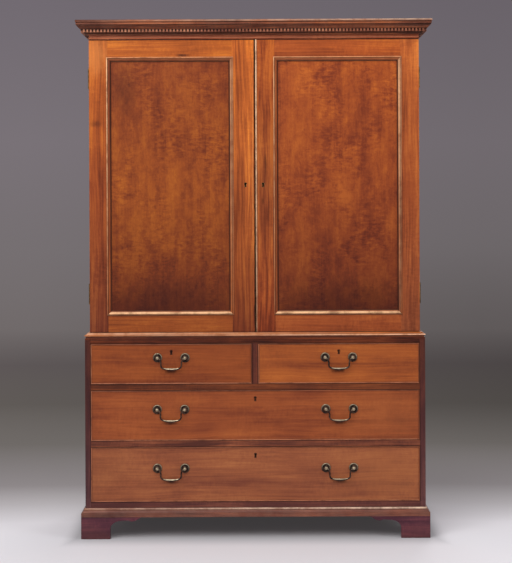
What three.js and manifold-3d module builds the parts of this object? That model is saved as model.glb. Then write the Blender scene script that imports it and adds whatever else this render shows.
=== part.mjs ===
// A mahogany linen press: a cupboard of sliding trays behind two panelled doors, with a dentil cornice,
// standing on a chest of two short and two long drawers on bracket feet.
// Millimetres, +Z up, the front faces -Y, the origin is at the middle of the footprint on the floor.

import * as THREE from 'three';
import { mergeVertices } from 'three/addons/utils/BufferGeometryUtils.js';
import Module from 'manifold-3d';

const wasm = await Module();
wasm.setup();

// Driving dimensions: plan
const overallDepth = 590;
const upperWidth = 1221;
const corniceProjection = 45.5;
const waistStep = 17;
const baseMouldingProjection = 15;

// Driving dimensions: heights, from the floor up
const footHeight = 80;
const baseMouldingHeight = 31.5;
const bottomRailHeight = 22;
const bottomDrawerHeight = 203;
const drawerRailHeight = 22;
const middleDrawerHeight = 187;
const shortDrawerHeight = 150;
const topRailHeight = 13;
const baseTopThickness = 14;
const waistHeight = 12;
const doorHeight = 1081.5;
const friezeHeight = 16;
const bedMouldingHeight = 9;
const dentilCourse = 11;
const crownHeight = 33;

// Driving dimensions: boards
const sideThickness = 20;
const boardThickness = 20;
const backThickness = 12;
const drawerFrontThickness = 20;
const liningThickness = 10;
const bottomThickness = 8;
const doorThickness = 24;

// Clearances
const glueLine = 0.3;
const runningGap = 0.5;
const drawerReveal = 1.5;
const doorReveal = 1.5;
const doorMeetingGap = 3;
const doorStandoff = 1;
const overrun = 5;

// Planes and levels that the pieces share
const backY = overallDepth / 2;
const upperFrontY = corniceProjection - overallDepth / 2;
const baseFrontY = upperFrontY - waistStep;
const baseWidth = upperWidth + 2 * waistStep;
const baseHalf = baseWidth / 2;
const upperHalf = upperWidth / 2;
const baseInnerHalf = baseHalf - sideThickness;
const upperInnerHalf = upperHalf - sideThickness;
const panelBackY = backY - backThickness;

const mouldingTopZ = footHeight + baseMouldingHeight;
const bottomDrawerZ = mouldingTopZ + bottomRailHeight;
const lowerRailZ = bottomDrawerZ + bottomDrawerHeight;
const middleDrawerZ = lowerRailZ + drawerRailHeight;
const upperRailZ = middleDrawerZ + middleDrawerHeight;
const shortDrawerZ = upperRailZ + drawerRailHeight;
const topRailZ = shortDrawerZ + shortDrawerHeight;
const baseTopZ = topRailZ + topRailHeight;
const waistZ = baseTopZ + baseTopThickness;
const doorZ = waistZ + waistHeight + doorReveal;
const friezeZ = doorZ + doorHeight + doorReveal;
const corniceZ = friezeZ + friezeHeight;
const bedTopZ = corniceZ + bedMouldingHeight;
const dentilSoffitZ = bedTopZ + dentilCourse;
const topZ = dentilSoffitZ + crownHeight;

const doorBackY = upperFrontY + doorThickness;
const caseFrontY = doorBackY + doorStandoff;

// Helpers: solids from three.js shapes, joined and cut as closed bodies

function toSolid(geometry) {
  const bare = geometry.index ? geometry.clone() : geometry;
  bare.deleteAttribute('normal');
  bare.deleteAttribute('uv');
  const merged = mergeVertices(bare);
  const corners = [];
  const index = merged.index.array;
  for (let i = 0; i < index.length; i += 3) {
    const [a, b, c] = index.slice(i, i + 3);
    if (a !== b && b !== c && c !== a) corners.push(a, b, c);
  }
  return new wasm.Manifold(new wasm.Mesh({
    numProp: 3,
    vertProperties: Float32Array.from(merged.attributes.position.array),
    triVerts: Uint32Array.from(corners),
  }));
}

function toGeometry(solid) {
  const mesh = solid.getMesh();
  const geometry = new THREE.BufferGeometry();
  geometry.setAttribute('position', new THREE.BufferAttribute(mesh.vertProperties, 3));
  geometry.setIndex(new THREE.BufferAttribute(mesh.triVerts, 1));
  geometry.computeVertexNormals();
  return geometry;
}

function join(...geometries) {
  return toGeometry(geometries.map(toSolid).reduce((sum, piece) => sum.add(piece)));
}

function cut(geometry, ...tools) {
  return toGeometry(tools.map(toSolid).reduce((rest, tool) => rest.subtract(tool), toSolid(geometry)));
}

function board([x0, x1], [y0, y1], [z0, z1]) {
  const geometry = new THREE.BoxGeometry(x1 - x0, y1 - y0, z1 - z0);
  return geometry.translate((x0 + x1) / 2, (y0 + y1) / 2, (z0 + z1) / 2);
}

function outlineShape(points) {
  return new THREE.Shape(points.map(([a, b]) => new THREE.Vector2(a, b)));
}

const alongX = new THREE.Matrix4().makeBasis(
  new THREE.Vector3(0, 1, 0), new THREE.Vector3(0, 0, 1), new THREE.Vector3(1, 0, 0));
const alongY = new THREE.Matrix4().makeBasis(
  new THREE.Vector3(1, 0, 0), new THREE.Vector3(0, 0, 1), new THREE.Vector3(0, -1, 0));

function extruded(shape, depth) {
  return new THREE.ExtrudeGeometry(shape, { depth, bevelEnabled: false });
}

// An outline of (y, z) points carried from x0 to x1
function prismX(shape, [x0, x1]) {
  return extruded(shape, x1 - x0).applyMatrix4(alongX).translate(x0, 0, 0);
}

// An outline of (x, z) points carried from y0 to y1
function prismY(shape, [y0, y1]) {
  return extruded(shape, y1 - y0).applyMatrix4(alongY).translate(0, y1, 0);
}

// An outline of (x, y) points carried from z0 to z1
function prismZ(shape, [z0, z1]) {
  return extruded(shape, z1 - z0).translate(0, 0, z0);
}

function rodZ(radius, [x, y], [z0, z1], sides) {
  const geometry = new THREE.CylinderGeometry(radius, radius, z1 - z0, sides);
  return geometry.rotateX(Math.PI / 2).translate(x, y, (z0 + z1) / 2);
}

// A moulding of (outward, up) points, mitred along a path of (x, y) points, with outward on its right
function mitred(profile, path, closed = false) {
  const section = profile.map(([u, v]) => new THREE.Vector2(u, v));
  if (THREE.ShapeUtils.isClockWise(section)) section.reverse();
  const corners = path.map(([x, y]) => new THREE.Vector2(x, y));
  const turns = corners.length;
  const vertices = [];
  corners.forEach((corner, i) => {
    const hasBefore = closed || i > 0;
    const hasAfter = closed || i < turns - 1;
    const before = hasBefore ? corner.clone().sub(corners[(i + turns - 1) % turns]).normalize() : null;
    const after = hasAfter ? corners[(i + 1) % turns].clone().sub(corner).normalize() : null;
    const first = before ?? after;
    const second = after ?? before;
    const share = 1 + first.dot(second);
    const outX = (first.y + second.y) / share;
    const outY = -(first.x + second.x) / share;
    section.forEach(({ x: u, y: v }) => vertices.push(corner.x + outX * u, corner.y + outY * u, v));
  });
  const size = section.length;
  const index = [];
  const runs = closed ? turns : turns - 1;
  for (let run = 0; run < runs; run += 1) {
    const here = run * size;
    const next = ((run + 1) % turns) * size;
    for (let j = 0; j < size; j += 1) {
      const k = (j + 1) % size;
      index.push(here + j, next + k, here + k, here + j, next + j, next + k);
    }
  }
  if (!closed) {
    const end = (turns - 1) * size;
    THREE.ShapeUtils.triangulateShape(section, []).forEach(([a, b, c]) => {
      index.push(a, b, c, end + a, end + c, end + b);
    });
  }
  const geometry = new THREE.BufferGeometry();
  geometry.setAttribute('position', new THREE.Float32BufferAttribute(vertices, 3));
  geometry.setIndex(index);
  geometry.computeVertexNormals();
  return geometry;
}

// Points of a quarter or other arc, from one angle to another in turns of a full circle
function arc([cx, cy], radius, fromTurn, toTurn, steps) {
  return Array.from({ length: steps + 1 }, (_, i) => {
    const angle = 2 * Math.PI * (fromTurn + ((toTurn - fromTurn) * i) / steps);
    return [cx + radius * Math.cos(angle), cy + radius * Math.sin(angle)];
  });
}

// An ogee from one point to another that leaves both ends level: half a cosine wave
function ogee([u0, v0], [u1, v1], steps) {
  return Array.from({ length: steps + 1 }, (_, i) => {
    const t = i / steps;
    return [u0 + (u1 - u0) * t, v0 + (v1 - v0) * (1 - Math.cos(Math.PI * t)) / 2];
  });
}

function finish(colour, roughness, metalness = 0) {
  return new THREE.MeshStandardMaterial({ color: colour, roughness, metalness });
}

const finishes = {
  frontWood: () => finish(0xa5552e, 0.42),
  figuredWood: () => finish(0x8f4a2b, 0.36),
  darkWood: () => finish(0x55302c, 0.45),
  liningWood: () => finish(0xb08a5c, 0.75),
  brass: () => finish(0x8a6a3c, 0.4, 1),
};

const press = new THREE.Group();

function piece(name, geometry, material, parent = press) {
  const mesh = new THREE.Mesh(geometry, material);
  mesh.name = name;
  parent.add(mesh);
  return mesh;
}

function groupAt(x, y, z, parent = press) {
  const group = new THREE.Group();
  group.position.set(x, y, z);
  parent.add(group);
  return group;
}

// Feet: two boards mitred at the corner, each cut to a scrolled bracket

const footBoard = 20;
const footFaceX = baseHalf + baseMouldingProjection;
const footFaceY = baseFrontY - baseMouldingProjection;
const footPad = 107;
const footHeel = 36.5;
const bracketArch = 41;
const bracketFlat = 22;
const bracketFlatRise = 1.5;
const bracketCusp = 18;
const bracketCuspDrop = 4;
const bracketArchShare = 0.7;
const bracketTail = 32;
const backBracketWidth = 110;
const footTopZ = footHeight - glueLine;

function bracketOutline(corner, sense) {
  const archHeight = (footHeight - footHeel) * bracketArchShare;
  const archEnd = footPad + bracketArch;
  const flatEnd = archEnd + bracketFlat;
  const flatZ = footHeel + archHeight + bracketFlatRise;
  const points = [
    [0, 0],
    [footPad, 0],
    [footPad, footHeel],
    ...arc([1, 0], 1, 0.5, 0.25, 5).slice(1).map(
      ([u, v]) => [footPad + u * bracketArch, footHeel + v * archHeight]),
    [flatEnd, flatZ],
    [flatEnd + bracketCusp, flatZ - bracketCuspDrop],
    [flatEnd + bracketCusp + bracketTail, footTopZ],
    [0, footTopZ],
  ];
  return outlineShape(points.map(([u, v]) => [corner - sense * u, v]));
}

function frontFoot(side) {
  const cornerX = side * footFaceX;
  const frontBoard = prismY(bracketOutline(cornerX, side), [footFaceY, footFaceY + footBoard]);
  const sideRange = side > 0 ? [cornerX - footBoard, cornerX] : [cornerX, cornerX + footBoard];
  const sideBoard = prismX(bracketOutline(footFaceY, -1), sideRange);
  return join(frontBoard, sideBoard);
}

function backFoot(side) {
  const cornerX = side * footFaceX;
  const sideRange = side > 0 ? [cornerX - footBoard, cornerX] : [cornerX, cornerX + footBoard];
  const sideBoard = prismX(bracketOutline(backY, 1), sideRange);
  const backRange = side > 0 ? [cornerX - backBracketWidth, cornerX] : [cornerX, cornerX + backBracketWidth];
  return join(sideBoard, board(backRange, [backY - footBoard, backY], [0, footTopZ]));
}

[['left', -1], ['right', 1]].forEach(([word, side]) => {
  piece(`foot_front_${word}`, frontFoot(side), finishes.darkWood());
  piece(`foot_back_${word}`, backFoot(side), finishes.darkWood());
});

// Base moulding: a mitred frame under the chest, moulded on the front and sides, with a plain back rail

const baseFrameWidth = 60;
const baseFascia = 15;
const baseMouldingFillet = 2;
const baseBeadRadius = 3.5;
const baseBeadProud = 4.5;

const baseRunPath = [[-baseHalf, backY], [-baseHalf, baseFrontY], [baseHalf, baseFrontY], [baseHalf, backY]];
const baseMouldingProfile = [
  [-baseFrameWidth, footHeight],
  [baseMouldingProjection, footHeight],
  [baseMouldingProjection, footHeight + baseFascia],
  ...ogee(
    [baseMouldingProjection - baseMouldingFillet, footHeight + baseFascia],
    [baseBeadProud, mouldingTopZ - 2 * baseBeadRadius], 6),
  ...arc(
    [baseBeadProud - baseBeadRadius, mouldingTopZ - baseBeadRadius], baseBeadRadius, -0.25, 0.25, 6),
  [-baseFrameWidth, mouldingTopZ],
];
const baseBackRail = board(
  [-baseHalf, baseHalf], [backY - baseFrameWidth, backY], [footHeight, mouldingTopZ]);
piece('base_moulding', join(mitred(baseMouldingProfile, baseRunPath), baseBackRail), finishes.darkWood());

// Chest carcase

const carcaseZ = mouldingTopZ + glueLine;
const baseBetween = [glueLine - baseInnerHalf, baseInnerHalf - glueLine];
const baseDepthRange = [baseFrontY, panelBackY - glueLine];

[['left', -1], ['right', 1]].forEach(([word, side]) => {
  const range = side > 0 ? [baseInnerHalf, baseHalf] : [-baseHalf, -baseInnerHalf];
  piece(`base_side_${word}`, board(range, [baseFrontY, backY], [carcaseZ, baseTopZ]), finishes.darkWood());
});
piece('base_bottom_board', board(
  baseBetween, baseDepthRange, [carcaseZ, bottomDrawerZ]), finishes.darkWood());
piece('base_back_board', board(
  baseBetween, [panelBackY, backY], [carcaseZ, baseTopZ]), finishes.liningWood());

// Each dustboard is a front rail and two side runners round a thinner panel, level on top
const railDepth = 70;
const runnerWidth = 60;
const dustPanelThickness = 10;

function dustboard(bottomZ) {
  const whole = board(baseBetween, baseDepthRange, [bottomZ, bottomZ + drawerRailHeight]);
  const hollow = board(
    [runnerWidth - baseInnerHalf, baseInnerHalf - runnerWidth],
    [baseFrontY + railDepth, panelBackY - runnerWidth],
    [bottomZ - overrun, bottomZ + drawerRailHeight - dustPanelThickness]);
  return cut(whole, hollow);
}

piece('lower_dustboard', dustboard(lowerRailZ), finishes.darkWood());
piece('upper_dustboard', dustboard(upperRailZ), finishes.darkWood());

const dividerWidth = 21;
piece('drawer_divider', board(
  [-dividerWidth / 2, dividerWidth / 2], baseDepthRange, [shortDrawerZ + glueLine, topRailZ - glueLine],
), finishes.darkWood());
piece('top_drawer_rail', board(
  baseBetween, [baseFrontY, baseFrontY + railDepth], [topRailZ, baseTopZ - glueLine],
), finishes.darkWood());

// Chest top with the waist moulding that the cupboard stands inside

const waistNose = 1;
const waistBeadRadius = 3;
const waistQuirk = 1;
const waistBeadX = waistNose - waistBeadRadius;
const waistInner = glueLine - waistStep;
const waistProfile = [
  [waistInner, waistZ - baseTopThickness / 2],
  [-waistBeadRadius, waistZ - baseTopThickness / 2],
  [-waistBeadRadius, waistZ],
  [waistBeadX, waistZ],
  ...arc([waistBeadX, waistZ + waistBeadRadius], waistBeadRadius, -0.25, 0.25, 6).slice(1),
  ...ogee(
    [waistBeadX - waistQuirk, waistZ + 2 * waistBeadRadius],
    [waistInner + waistBeadRadius, waistZ + waistHeight], 4),
  [waistInner, waistZ + waistHeight],
];
const baseTop = board([-baseHalf, baseHalf], [baseFrontY, backY], [baseTopZ + glueLine, waistZ]);
const doorLedge = board(
  [-upperHalf, upperHalf], [baseFrontY - waistInner - waistBeadRadius / 2, caseFrontY - glueLine],
  [waistZ - baseTopThickness / 2, waistZ + waistHeight]);
piece('base_top_board', join(baseTop, mitred(waistProfile, baseRunPath), doorLedge), finishes.darkWood());

// Cupboard carcase: the trays run in grooves of the sides

const trayCount = 4;
const grooveDepth = 8;
const trayBottomThickness = 8;
const firstTrayLift = 14;
const corniceLap = 8;
const topBoardLift = 4;
const caseFloorZ = waistZ + glueLine;
const caseTopZ = corniceZ + corniceLap;
const topBoardZ = friezeZ + topBoardLift;
const upperBetween = [glueLine - upperInnerHalf, upperInnerHalf - glueLine];
const upperDepthRange = [caseFrontY, panelBackY - glueLine];
const firstTrayZ = caseFloorZ + boardThickness + firstTrayLift;
const trayPitch = (topBoardZ - firstTrayZ) / trayCount;
const trayLevels = Array.from({ length: trayCount }, (_, i) => firstTrayZ + i * trayPitch);

// Hinges: the barrel stands just outside the case, the leaves are let into the case and the door
const hingeLength = 76;
const barrelRadius = 4;
const barrelOutset = 2;
const barrelClearance = 0.4;
const leafThickness = 2;
const leafInset = 2;
const leafWidth = sideThickness - leafInset;
const hingeInsetShare = 0.13;
const hingeY = (doorBackY + caseFrontY) / 2;
const hingeLevels = [doorZ + doorHeight * hingeInsetShare, doorZ + doorHeight * (1 - hingeInsetShare)];

function hingePocket(side, [y0, y1], middleZ) {
  const halfLength = hingeLength / 2 + glueLine;
  const ends = [middleZ - halfLength, middleZ + halfLength];
  const x1 = upperHalf + overrun;
  const x0 = upperHalf - leafWidth - glueLine;
  const slot = board(side > 0 ? [x0, x1] : [-x1, -x0], [y0, y1], ends);
  const barrel = rodZ(
    barrelRadius + barrelClearance, [side * (upperHalf + barrelOutset), hingeY], ends, 16);
  return join(slot, barrel);
}

function upperSide(side) {
  const inner = trayLevels.flatMap((z) => {
    const low = z - runningGap;
    const high = z + trayBottomThickness + runningGap;
    return [
      [upperInnerHalf, low], [upperInnerHalf + grooveDepth, low],
      [upperInnerHalf + grooveDepth, high], [upperInnerHalf, high],
    ];
  });
  const outline = [
    [upperHalf, caseTopZ], [upperHalf, caseFloorZ],
    [upperInnerHalf, caseFloorZ], ...inner, [upperInnerHalf, caseTopZ],
  ];
  const whole = prismY(outlineShape(outline.map(([x, z]) => [side * x, z])), [caseFrontY, backY]);
  const pocketDepth = [caseFrontY - overrun, caseFrontY + leafThickness + glueLine];
  return cut(whole, ...hingeLevels.map((z) => hingePocket(side, pocketDepth, z)));
}

[['left', -1], ['right', 1]].forEach(([word, side]) => {
  piece(`upper_side_${word}`, upperSide(side), finishes.darkWood());
});
piece('upper_bottom_board', board(
  upperBetween, upperDepthRange, [caseFloorZ, caseFloorZ + boardThickness]), finishes.liningWood());
piece('upper_top_board', board(
  upperBetween, upperDepthRange, [topBoardZ, topBoardZ + boardThickness]), finishes.liningWood());
piece('upper_back_board', board(
  upperBetween, [panelBackY, backY], [caseFloorZ, caseTopZ]), finishes.liningWood());

function hinge(side, middleZ) {
  const ends = [middleZ - hingeLength / 2, middleZ + hingeLength / 2];
  const axisX = upperHalf + barrelOutset;
  const leaf = board(
    side > 0 ? [upperHalf - leafWidth, axisX] : [-axisX, leafWidth - upperHalf],
    [caseFrontY, caseFrontY + leafThickness], ends);
  return join(leaf, rodZ(barrelRadius, [side * axisX, hingeY], ends, 12));
}

[['left', -1], ['right', 1]].forEach(([word, side]) => {
  piece(`hinge_${word}_bottom`, hinge(side, hingeLevels[0]), finishes.brass());
  piece(`hinge_${word}_top`, hinge(side, hingeLevels[1]), finishes.brass());
});

// Frieze rail over the doors, with a bead along its lower edge

const beadRadius = 3.5;
const beadLift = 6;
const beadProud = 2.5;
const beadTurn = Math.acos((beadRadius - beadProud) / beadRadius) / (2 * Math.PI);
const beadCentre = [upperFrontY + beadRadius - beadProud, friezeZ + beadLift];
const friezeBack = caseFrontY - glueLine;
const friezeOutline = [
  [friezeBack, friezeZ],
  [upperFrontY, friezeZ],
  ...arc(beadCentre, beadRadius, 0.5 + beadTurn, 0.5 - beadTurn, 6),
  [upperFrontY, caseTopZ],
  [friezeBack, caseTopZ],
];
piece('frieze_rail', prismX(outlineShape(friezeOutline), [-upperHalf, upperHalf]), finishes.frontWood());

// Cornice: a frame that drops over the cupboard, moulded on the front and sides, with a plain back rail

const topFillet = 5;
const quirkDepth = 2;
const quirkHeight = 2;
const crownBand = 11;
const bandSetback = 0.5;
const cymaFoot = 28.5;
const dentilBed = 17;
const bedFoot = 4;
const bedFillet = 3;
const smallFillet = 1;

const corniceRunPath = [
  [-upperHalf, backY], [-upperHalf, upperFrontY], [upperHalf, upperFrontY], [upperHalf, backY],
];
const filletZ = topZ - topFillet;
const bandTopZ = filletZ - quirkHeight;
const bandZ = bandTopZ - crownBand;
const corniceProfile = [
  [-sideThickness, topZ],
  [-sideThickness, caseTopZ + glueLine],
  [glueLine, caseTopZ + glueLine],
  [glueLine, corniceZ],
  [bedFoot, corniceZ],
  ...ogee([bedFoot, corniceZ + bedFillet], [dentilBed, bedTopZ], 4),
  [dentilBed, dentilSoffitZ],
  [cymaFoot, dentilSoffitZ],
  ...ogee([cymaFoot, dentilSoffitZ + smallFillet], [corniceProjection - quirkDepth, bandZ], 6),
  [corniceProjection - bandSetback, bandZ],
  [corniceProjection - bandSetback, bandTopZ],
  [corniceProjection - quirkDepth, bandTopZ],
  [corniceProjection - quirkDepth, filletZ],
  [corniceProjection, filletZ],
  [corniceProjection, topZ],
];
const corniceBackRail = board(
  [-upperHalf, upperHalf], [backY - sideThickness, backY], [caseTopZ + glueLine, topZ]);
piece('cornice', join(mitred(corniceProfile, corniceRunPath), corniceBackRail), finishes.frontWood());

// Dentil band: one comb that turns both corners under the cornice

const dentilPitch = 12.7;
const dentilGapShare = 0.48;
const dentilStrip = 3.5;
const dentilProud = 6.5;
const dentilBack = dentilBed + glueLine;
const dentilRoot = dentilBack + dentilStrip;
const dentilRange = [bedTopZ + glueLine, dentilSoffitZ - glueLine];

function dentilRun(from, to) {
  const start = new THREE.Vector2(...from);
  const along = new THREE.Vector2(...to).sub(start);
  const count = Math.round(along.length() / dentilPitch);
  const step = along.divideScalar(count);
  const out = new THREE.Vector2(step.y, -step.x).setLength(dentilProud);
  const gapShare = dentilGapShare / 2;
  return Array.from({ length: count }, (_, i) => {
    const open = start.clone().addScaledVector(step, i + gapShare);
    const close = start.clone().addScaledVector(step, i + 1 - gapShare);
    return [open, open.clone().add(out), close.clone().add(out), close].map(({ x, y }) => [x, y]);
  }).flat();
}

const combCorners = [dentilRoot, dentilBack].map((reach) => [
  [-upperHalf - reach, backY], [-upperHalf - reach, upperFrontY - reach],
  [upperHalf + reach, upperFrontY - reach], [upperHalf + reach, backY],
]);
const [outerCorners, innerCorners] = combCorners;
const combLegs = outerCorners.slice(1).map((next, i) => [outerCorners[i], next]);
const combOutline = [
  ...combLegs.flatMap(([from, to]) => [from, ...dentilRun(from, to)]),
  outerCorners.at(-1), ...innerCorners.toReversed(),
];
piece('dentil_band', prismZ(outlineShape(combOutline), dentilRange), finishes.frontWood());

// Doors: a frame with a mitred moulding round a panel held in a groove

const hingeStile = 64;
const meetingStileLeft = 78;
const meetingStileRight = 67;
const topRail = 63;
const bottomRail = 62;
const mouldingWidth = 17;
const mouldingLap = 5;
const mouldingProud = 3;
const mouldingBeadRadius = 2.5;
const mouldingFoot = 7;
const beadQuirk = 0.6;
const panelSet = 9;
const panelThickness = 8;
const panelTongue = 8;
const meetingX = 3;
const meetingBeadWidth = 6;
const meetingBeadProud = 3;
const lockLift = 7;
const lockZ = doorZ + doorHeight / 2 + lockLift;
const lockInset = { left: 34, right: 28 };

// Keyhole: a round pin hole over a slot, cut blind
const keyPinRadius = 3.4;
const keySlotWidth = 3.6;
const keySlotDrop = 11;
const keyholeDepth = 14;

function keyhole([x, z], faceY) {
  const slot = board(
    [x - keySlotWidth / 2, x + keySlotWidth / 2],
    [faceY - overrun, faceY + keyholeDepth], [z - keySlotDrop, z]);
  const pin = new THREE.CylinderGeometry(keyPinRadius, keyPinRadius, overrun + keyholeDepth, 12);
  return join(slot, pin.translate(x, faceY + (keyholeDepth - overrun) / 2, z));
}

// The face plane is XZ: outward of the path becomes towards the door's edge, up becomes proud of the face
function faceMoulding(profile, [x0, x1], [z0, z1], faceY) {
  const path = [[x0, z0], [x0, z1], [x1, z1], [x1, z0]].toReversed();
  return mitred(profile, path, true).applyMatrix4(alongY).translate(0, faceY, 0);
}

const mouldingBeadCentre = [mouldingWidth - mouldingBeadRadius, mouldingProud - mouldingBeadRadius];
const panelMouldingProfile = [
  [0, -panelSet],
  [mouldingWidth - mouldingLap, -panelSet],
  [mouldingWidth - mouldingLap, -mouldingProud],
  [mouldingWidth, -mouldingProud],
  [mouldingWidth, 0],
  ...arc(mouldingBeadCentre, mouldingBeadRadius, 0, 0.5, 5),
  ...ogee([mouldingWidth - 2 * mouldingBeadRadius - beadQuirk, 0], [0, -mouldingFoot], 5),
];

function doorPieces(side) {
  const hingeEdge = side * upperHalf;
  const meetingEdge = meetingX + (side * doorMeetingGap) / 2;
  const meetingStile = side > 0 ? meetingStileRight : meetingStileLeft;
  const hingeSight = hingeEdge - side * (hingeStile + mouldingWidth);
  const meetingSight = meetingEdge + side * (meetingStile + mouldingWidth);
  const sightX = [Math.min(hingeSight, meetingSight), Math.max(hingeSight, meetingSight)];
  const sightZ = [doorZ + bottomRail + mouldingWidth, doorZ + doorHeight - topRail - mouldingWidth];
  const edgeX = [Math.min(hingeEdge, meetingEdge), Math.max(hingeEdge, meetingEdge)];
  const grow = ([low, high], by) => [low - by, high + by];
  const rectangle = ([x0, x1], [z0, z1]) => [[x0, z0], [x1, z0], [x1, z1], [x0, z1]];

  const plate = outlineShape(rectangle(edgeX, [doorZ, doorZ + doorHeight]));
  const openingX = grow(sightX, mouldingWidth - mouldingLap);
  const openingZ = grow(sightZ, mouldingWidth - mouldingLap);
  plate.holes.push(outlineShape(rectangle(openingX, openingZ)));
  const frame = prismY(plate, [upperFrontY, doorBackY]);
  const moulding = faceMoulding(panelMouldingProfile, sightX, sightZ, upperFrontY);

  const panelReach = mouldingWidth - mouldingLap + panelTongue;
  const panelFrontY = upperFrontY + panelSet + glueLine;
  const panelRange = [panelFrontY, panelFrontY + panelThickness];
  const panel = board(grow(sightX, panelReach), panelRange, grow(sightZ, panelReach));
  const groove = board(
    grow(sightX, panelReach + glueLine), grow(panelRange, glueLine), grow(sightZ, panelReach + glueLine));

  const parts = [frame, moulding];
  if (side > 0) {
    const beadOutline = [
      [meetingEdge, upperFrontY + meetingBeadProud],
      ...arc([meetingEdge + meetingBeadWidth / 2, upperFrontY], meetingBeadProud, 0.5, 1, 6),
      [meetingEdge + meetingBeadWidth, upperFrontY + meetingBeadProud],
    ];
    parts.push(prismZ(outlineShape(beadOutline), [doorZ, doorZ + doorHeight]));
  }
  const pocketDepth = [doorBackY - leafThickness - glueLine, doorBackY + overrun];
  const lockX = meetingEdge + side * (side < 0 ? lockInset.left : lockInset.right);
  const tools = [
    groove,
    keyhole([lockX, lockZ], upperFrontY),
    ...hingeLevels.map((z) => hingePocket(side, pocketDepth, z)),
  ];
  return { frame: cut(join(...parts), ...tools), panel };
}

[['left', -1], ['right', 1]].forEach(([word, side]) => {
  const { frame, panel } = doorPieces(side);
  piece(`door_${word}_frame`, frame, finishes.frontWood());
  piece(`door_${word}_panel`, panel, finishes.figuredWood());
});

// Linen trays: a board that runs in the grooves, with low sides that sweep down to the front

const traySetback = 27;
const trayFrontHeight = 46;
const trayBackHeight = 96;
const trayWallGap = 2;
const trayBackGap = 8;
const trayRampShare = 0.45;

function tray() {
  const depth = panelBackY - caseFrontY - traySetback - trayBackGap;
  const half = upperInnerHalf - trayWallGap;
  const boardHalf = upperInnerHalf + grooveDepth - 2 * runningGap;
  const base = board([-boardHalf, boardHalf], [0, depth], [0, trayBottomThickness]);
  const sideOutline = [
    [0, 0], [depth, 0], [depth, trayBackHeight],
    ...ogee([depth * trayRampShare, trayBackHeight], [liningThickness, trayFrontHeight], 5),
    [0, trayFrontHeight],
  ];
  const walls = [-1, 1].map((side) => prismX(
    outlineShape(sideOutline), side > 0 ? [half - liningThickness, half] : [-half, liningThickness - half]));
  const front = board([-half, half], [0, liningThickness], [0, trayFrontHeight]);
  const back = board([-half, half], [depth - liningThickness, depth], [0, trayBackHeight]);
  return join(base, ...walls, front, back);
}

trayLevels.forEach((z, i) => {
  const place = groupAt(0, caseFrontY + traySetback, z);
  piece(`linen_tray_${i + 1}`, tray(), finishes.liningWood(), place);
});

// Drawers: a cock-beaded front, lap-dovetailed to a box of thin linings

const cockbeadWidth = 3.5;
const cockbeadProud = 2.5;
const boxTopDrop = 8;
const drawerBackGap = 32.5;
const boxDepth = panelBackY - baseFrontY - drawerBackGap;
const bottomLift = 6;
const bottomHousing = 5;
const tailLength = 13;
const tailPitch = 48;
const tailFlareShare = 0.16;
const tailRootShare = 0.3;
const keyDrop = 29;

// Drawer pull: two turned posts with dished roses, and a swan-neck bail between them
const postSpacing = 101.6;
const postRise = 22.5;
const pivotOut = 15;
const shankRadius = 3;
const nutRadius = 6;
const nutThickness = 3.5;
const roseRadius = 17;
const roseRim = 3.2;
const headRadius = 6;
const neckRadius = 4.2;
const neckFoot = 5;
const bailRadius = 2.4;
const bailBore = 0.35;
const bailDrop = 40;
const bailGripRadius = 4.2;
const bailGripLength = 52;
const bailShoulder = 12;
const bailBarHalf = 28;
const shoulderShares = [[0, 0], [0.5, 0], [1, 0.06], [1.25, 0.3]];
const barShares = [[1.25, 0.72], [1, 0.94], [0.5, 1]];

function postGeometry() {
  const profile = [
    [0, -drawerFrontThickness - glueLine - nutThickness],
    [nutRadius, -drawerFrontThickness - glueLine - nutThickness],
    [nutRadius, -drawerFrontThickness - glueLine],
    [shankRadius, -drawerFrontThickness - glueLine],
    [shankRadius, glueLine],
    [roseRadius, glueLine],
    [roseRadius, roseRim - glueLine],
    [roseRadius - roseRim / 2, roseRim],
    [roseRadius - roseRim, roseRim / 2],
    [headRadius, roseRim / 2],
    [neckRadius, neckFoot],
    [neckRadius, pivotOut - headRadius],
    [headRadius, pivotOut - headRadius / 2],
    [headRadius, pivotOut + headRadius / 2],
    [headRadius / 2, pivotOut + headRadius],
    [0, pivotOut + headRadius],
  ];
  return new THREE.LatheGeometry(profile.map(([r, h]) => new THREE.Vector2(r, h)), 8).rotateX(Math.PI);
}

function boredPost(inward) {
  const length = 2 * headRadius;
  const bore = new THREE.CylinderGeometry(bailRadius + bailBore, bailRadius + bailBore, length, 8)
    .rotateZ(Math.PI / 2)
    .translate(inward * (length / 2 - runningGap), -pivotOut, 0);
  return cut(postGeometry(), bore);
}

function bailGeometry() {
  const end = postSpacing / 2;
  const half = [
    ...shoulderShares.map(([inward, down]) => [end - bailShoulder * inward, -bailDrop * down]),
    ...barShares.map(([outward, down]) => [bailBarHalf * outward, -bailDrop * down]),
  ];
  const points = [
    ...half.map(([x, z]) => new THREE.Vector3(-x, -pivotOut, z)),
    ...half.toReversed().map(([x, z]) => new THREE.Vector3(x, -pivotOut, z)),
  ];
  const section = outlineShape(arc([0, 0], bailRadius, 0, 1, 6).slice(1));
  const wire = new THREE.ExtrudeGeometry(section, {
    steps: 20, extrudePath: new THREE.CatmullRomCurve3(points), bevelEnabled: false,
  });
  const gripProfile = ogee([-bailGripLength / 2, bailRadius / 2], [0, bailGripRadius], 3)
    .concat(ogee([0, bailGripRadius], [bailGripLength / 2, bailRadius / 2], 3).slice(1))
    .map(([along, radius]) => new THREE.Vector2(radius, along));
  const closedGrip = [
    new THREE.Vector2(0, -bailGripLength / 2), ...gripProfile, new THREE.Vector2(0, bailGripLength / 2)];
  const grip = new THREE.LatheGeometry(closedGrip, 6)
    .rotateZ(Math.PI / 2).translate(0, -pivotOut, -bailDrop);
  return join(wire, grip);
}

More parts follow.
